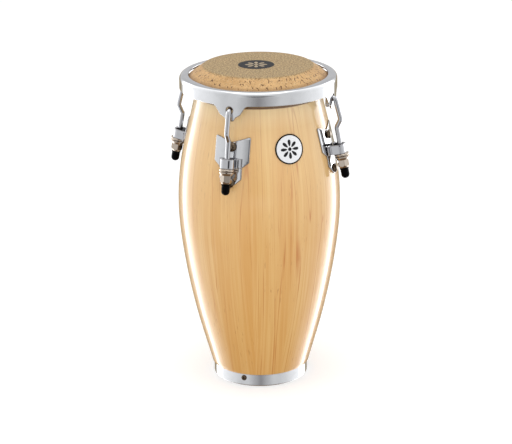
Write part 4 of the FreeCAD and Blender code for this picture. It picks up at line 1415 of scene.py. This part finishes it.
def make_surroundings():
    """Walls for gloss: grey and a black gap by the camera, bright strips and plain walls behind the drum."""
    world = bpy.data.worlds.new("studio")
    world.use_nodes = True
    walls = Wiring(world.node_tree)
    way = walls.node("TexCoord").outputs["Generated"]
    rays = walls.node("LightPath").outputs
    ahead = walls.along(way, polar(1, VIEW_AZIMUTH, 0))
    aside = walls.along(way, polar(1, VIEW_AZIMUTH + math.pi / 2, 0))
    turn = walls.maths("ABSOLUTE", walls.maths("DEGREES", walls.maths("ARCTAN2", aside, ahead)))
    height = walls.part(way, 2)
    rise = walls.span(turn, *STRIP_RISE)
    upright = walls.band(height, *STRIP_HEIGHTS)
    strips = walls.product(rise, rise, walls.span(turn, *STRIP_FALL, 1, 0), upright, rays["Is Glossy Ray"],
                           STRIP_LEVEL)
    level = walls.maths("ADD", walls.span(turn, *WALL_TURN, WALL_FRONT, WALL_SIDE), strips)
    pale = walls.node("CombineColor")
    for index, share in enumerate(WALL_TINT):
        walls.feed(pale.inputs[index], walls.product(level, share))
    behind = walls.mix(walls.span(height, *BEHIND_HEIGHT), BEHIND_LOW, BEHIND_HIGH)
    colour = walls.mix(walls.span(turn, *BEHIND_TURN), pale.outputs[0], behind)
    for turns, heights, tint in (CAMERA_GREY, BLACK_GAP):
        patch = walls.product(walls.span(turn, *turns, 1, 0), walls.band(height, *heights))
        colour = walls.mix(patch, colour, tint)
    below = walls.product(walls.span(height, *BELOW_HEIGHT), walls.span(turn, *BELOW_TURN, 1, 0),
                          rays["Is Glossy Ray"])
    colour = walls.mix(below, colour, BELOW_BROWN)
    colour = walls.mix(rays["Is Diffuse Ray"], colour, DIFFUSE_GREY)
    colour = walls.mix(rays["Is Camera Ray"], colour, BACKDROP)
    walls.feed(world.node_tree.nodes["Background"].inputs["Color"], colour)
    bpy.context.scene.world = world


FLOOR_HALF = 14


def make_studio():
    """Pale floor, surroundings and softboxes; gloss sees neither the floor nor the fills."""
    bm = bmesh.new()
    bmesh.ops.create_grid(bm, x_segments=24, y_segments=24, size=FLOOR_HALF)
    floor = new_piece("studio_floor", bm)
    floor.data.materials.append(pale_floor())
    floor.visible_glossy = False
    make_surroundings()
    for name, *setting in SOFTBOXES:
        lamp = softbox(name, *setting)
        lamp.visible_glossy = name == "overhead"
    scene = bpy.context.scene
    scene.view_settings.view_transform = "Standard"
    scene.view_settings.exposure = 0.0


# ---- the drum

chrome = polished_chrome()
rod_chrome = polished_chrome("rod_chrome", (0.50, 0.50, 0.515))
# painted reflection: a dark brown copy of the chrome for the ring screws and plate bolts, standing in for
# the dark room that their domes mirror
chrome_painted_dark = polished_chrome("chrome_dark_reflection", (0.125, 0.095, 0.065), 0.05)
nickel = polished_chrome("warm_nickel", (0.50, 0.43, 0.36), 0.05)
steel = clouded("plated_steel", 160, 4, ((0.62, 0.61, 0.58), (0.44, 0.43, 0.41)), (0.3, 0.75, 0.28, 0.46),
                (0.00001, 0.4), grit=2600, Metallic=1.0)
rubber = clouded("black_rubber", 260, 3, ((0.0008, 0.0008, 0.0012), (0.002, 0.0019, 0.0022)),
                 (0.3, 0.75, 0.22, 0.36), (0.00002, 0.3), grit=3800, IOR=1.5, Specular_IOR_Level=0.03)
# painted shade and reflection: the bezel is made near black to stand in for the shade and dark reflection
# round the badge's edge
bezel = clouded("dark_bezel", 300, 3, ((0.030, 0.024, 0.020), (0.018, 0.014, 0.012)), (0.3, 0.7, 0.14, 0.26),
                (0.00001, 0.3), Metallic=1.0)
wood = lacquered_wood()
skin = mottled_skin()

make_camera()
make_studio()
make_staves(wood)
make_head(skin)
make_rim(chrome)
make_foot_ring(chrome)
make_ring_screws(chrome_painted_dark)
make_side_plates(chrome)
make_straps(rod_chrome)
make_hooks(rod_chrome)
make_caps(rubber)
make_badge(silvered_face(), bezel, enamel("badge_enamel", (0.004, 0.004, 0.005), 0.12))
make_print(enamel("black_ink", (0.010, 0.010, 0.011), 0.4), enamel("pale_ink", (0.52, 0.41, 0.27), 0.4))
nickel_nodes = [f"{kind}_{side}" for kind in ("tuning_nut", "tuning_washer") for side in SIDES]
dress_nodes(nickel_nodes, nickel)
dress_nodes(["plate_bolts"], chrome_painted_dark)
dress_nodes(["inner_washers", "inner_nuts", "flesh_hoop"], steel)
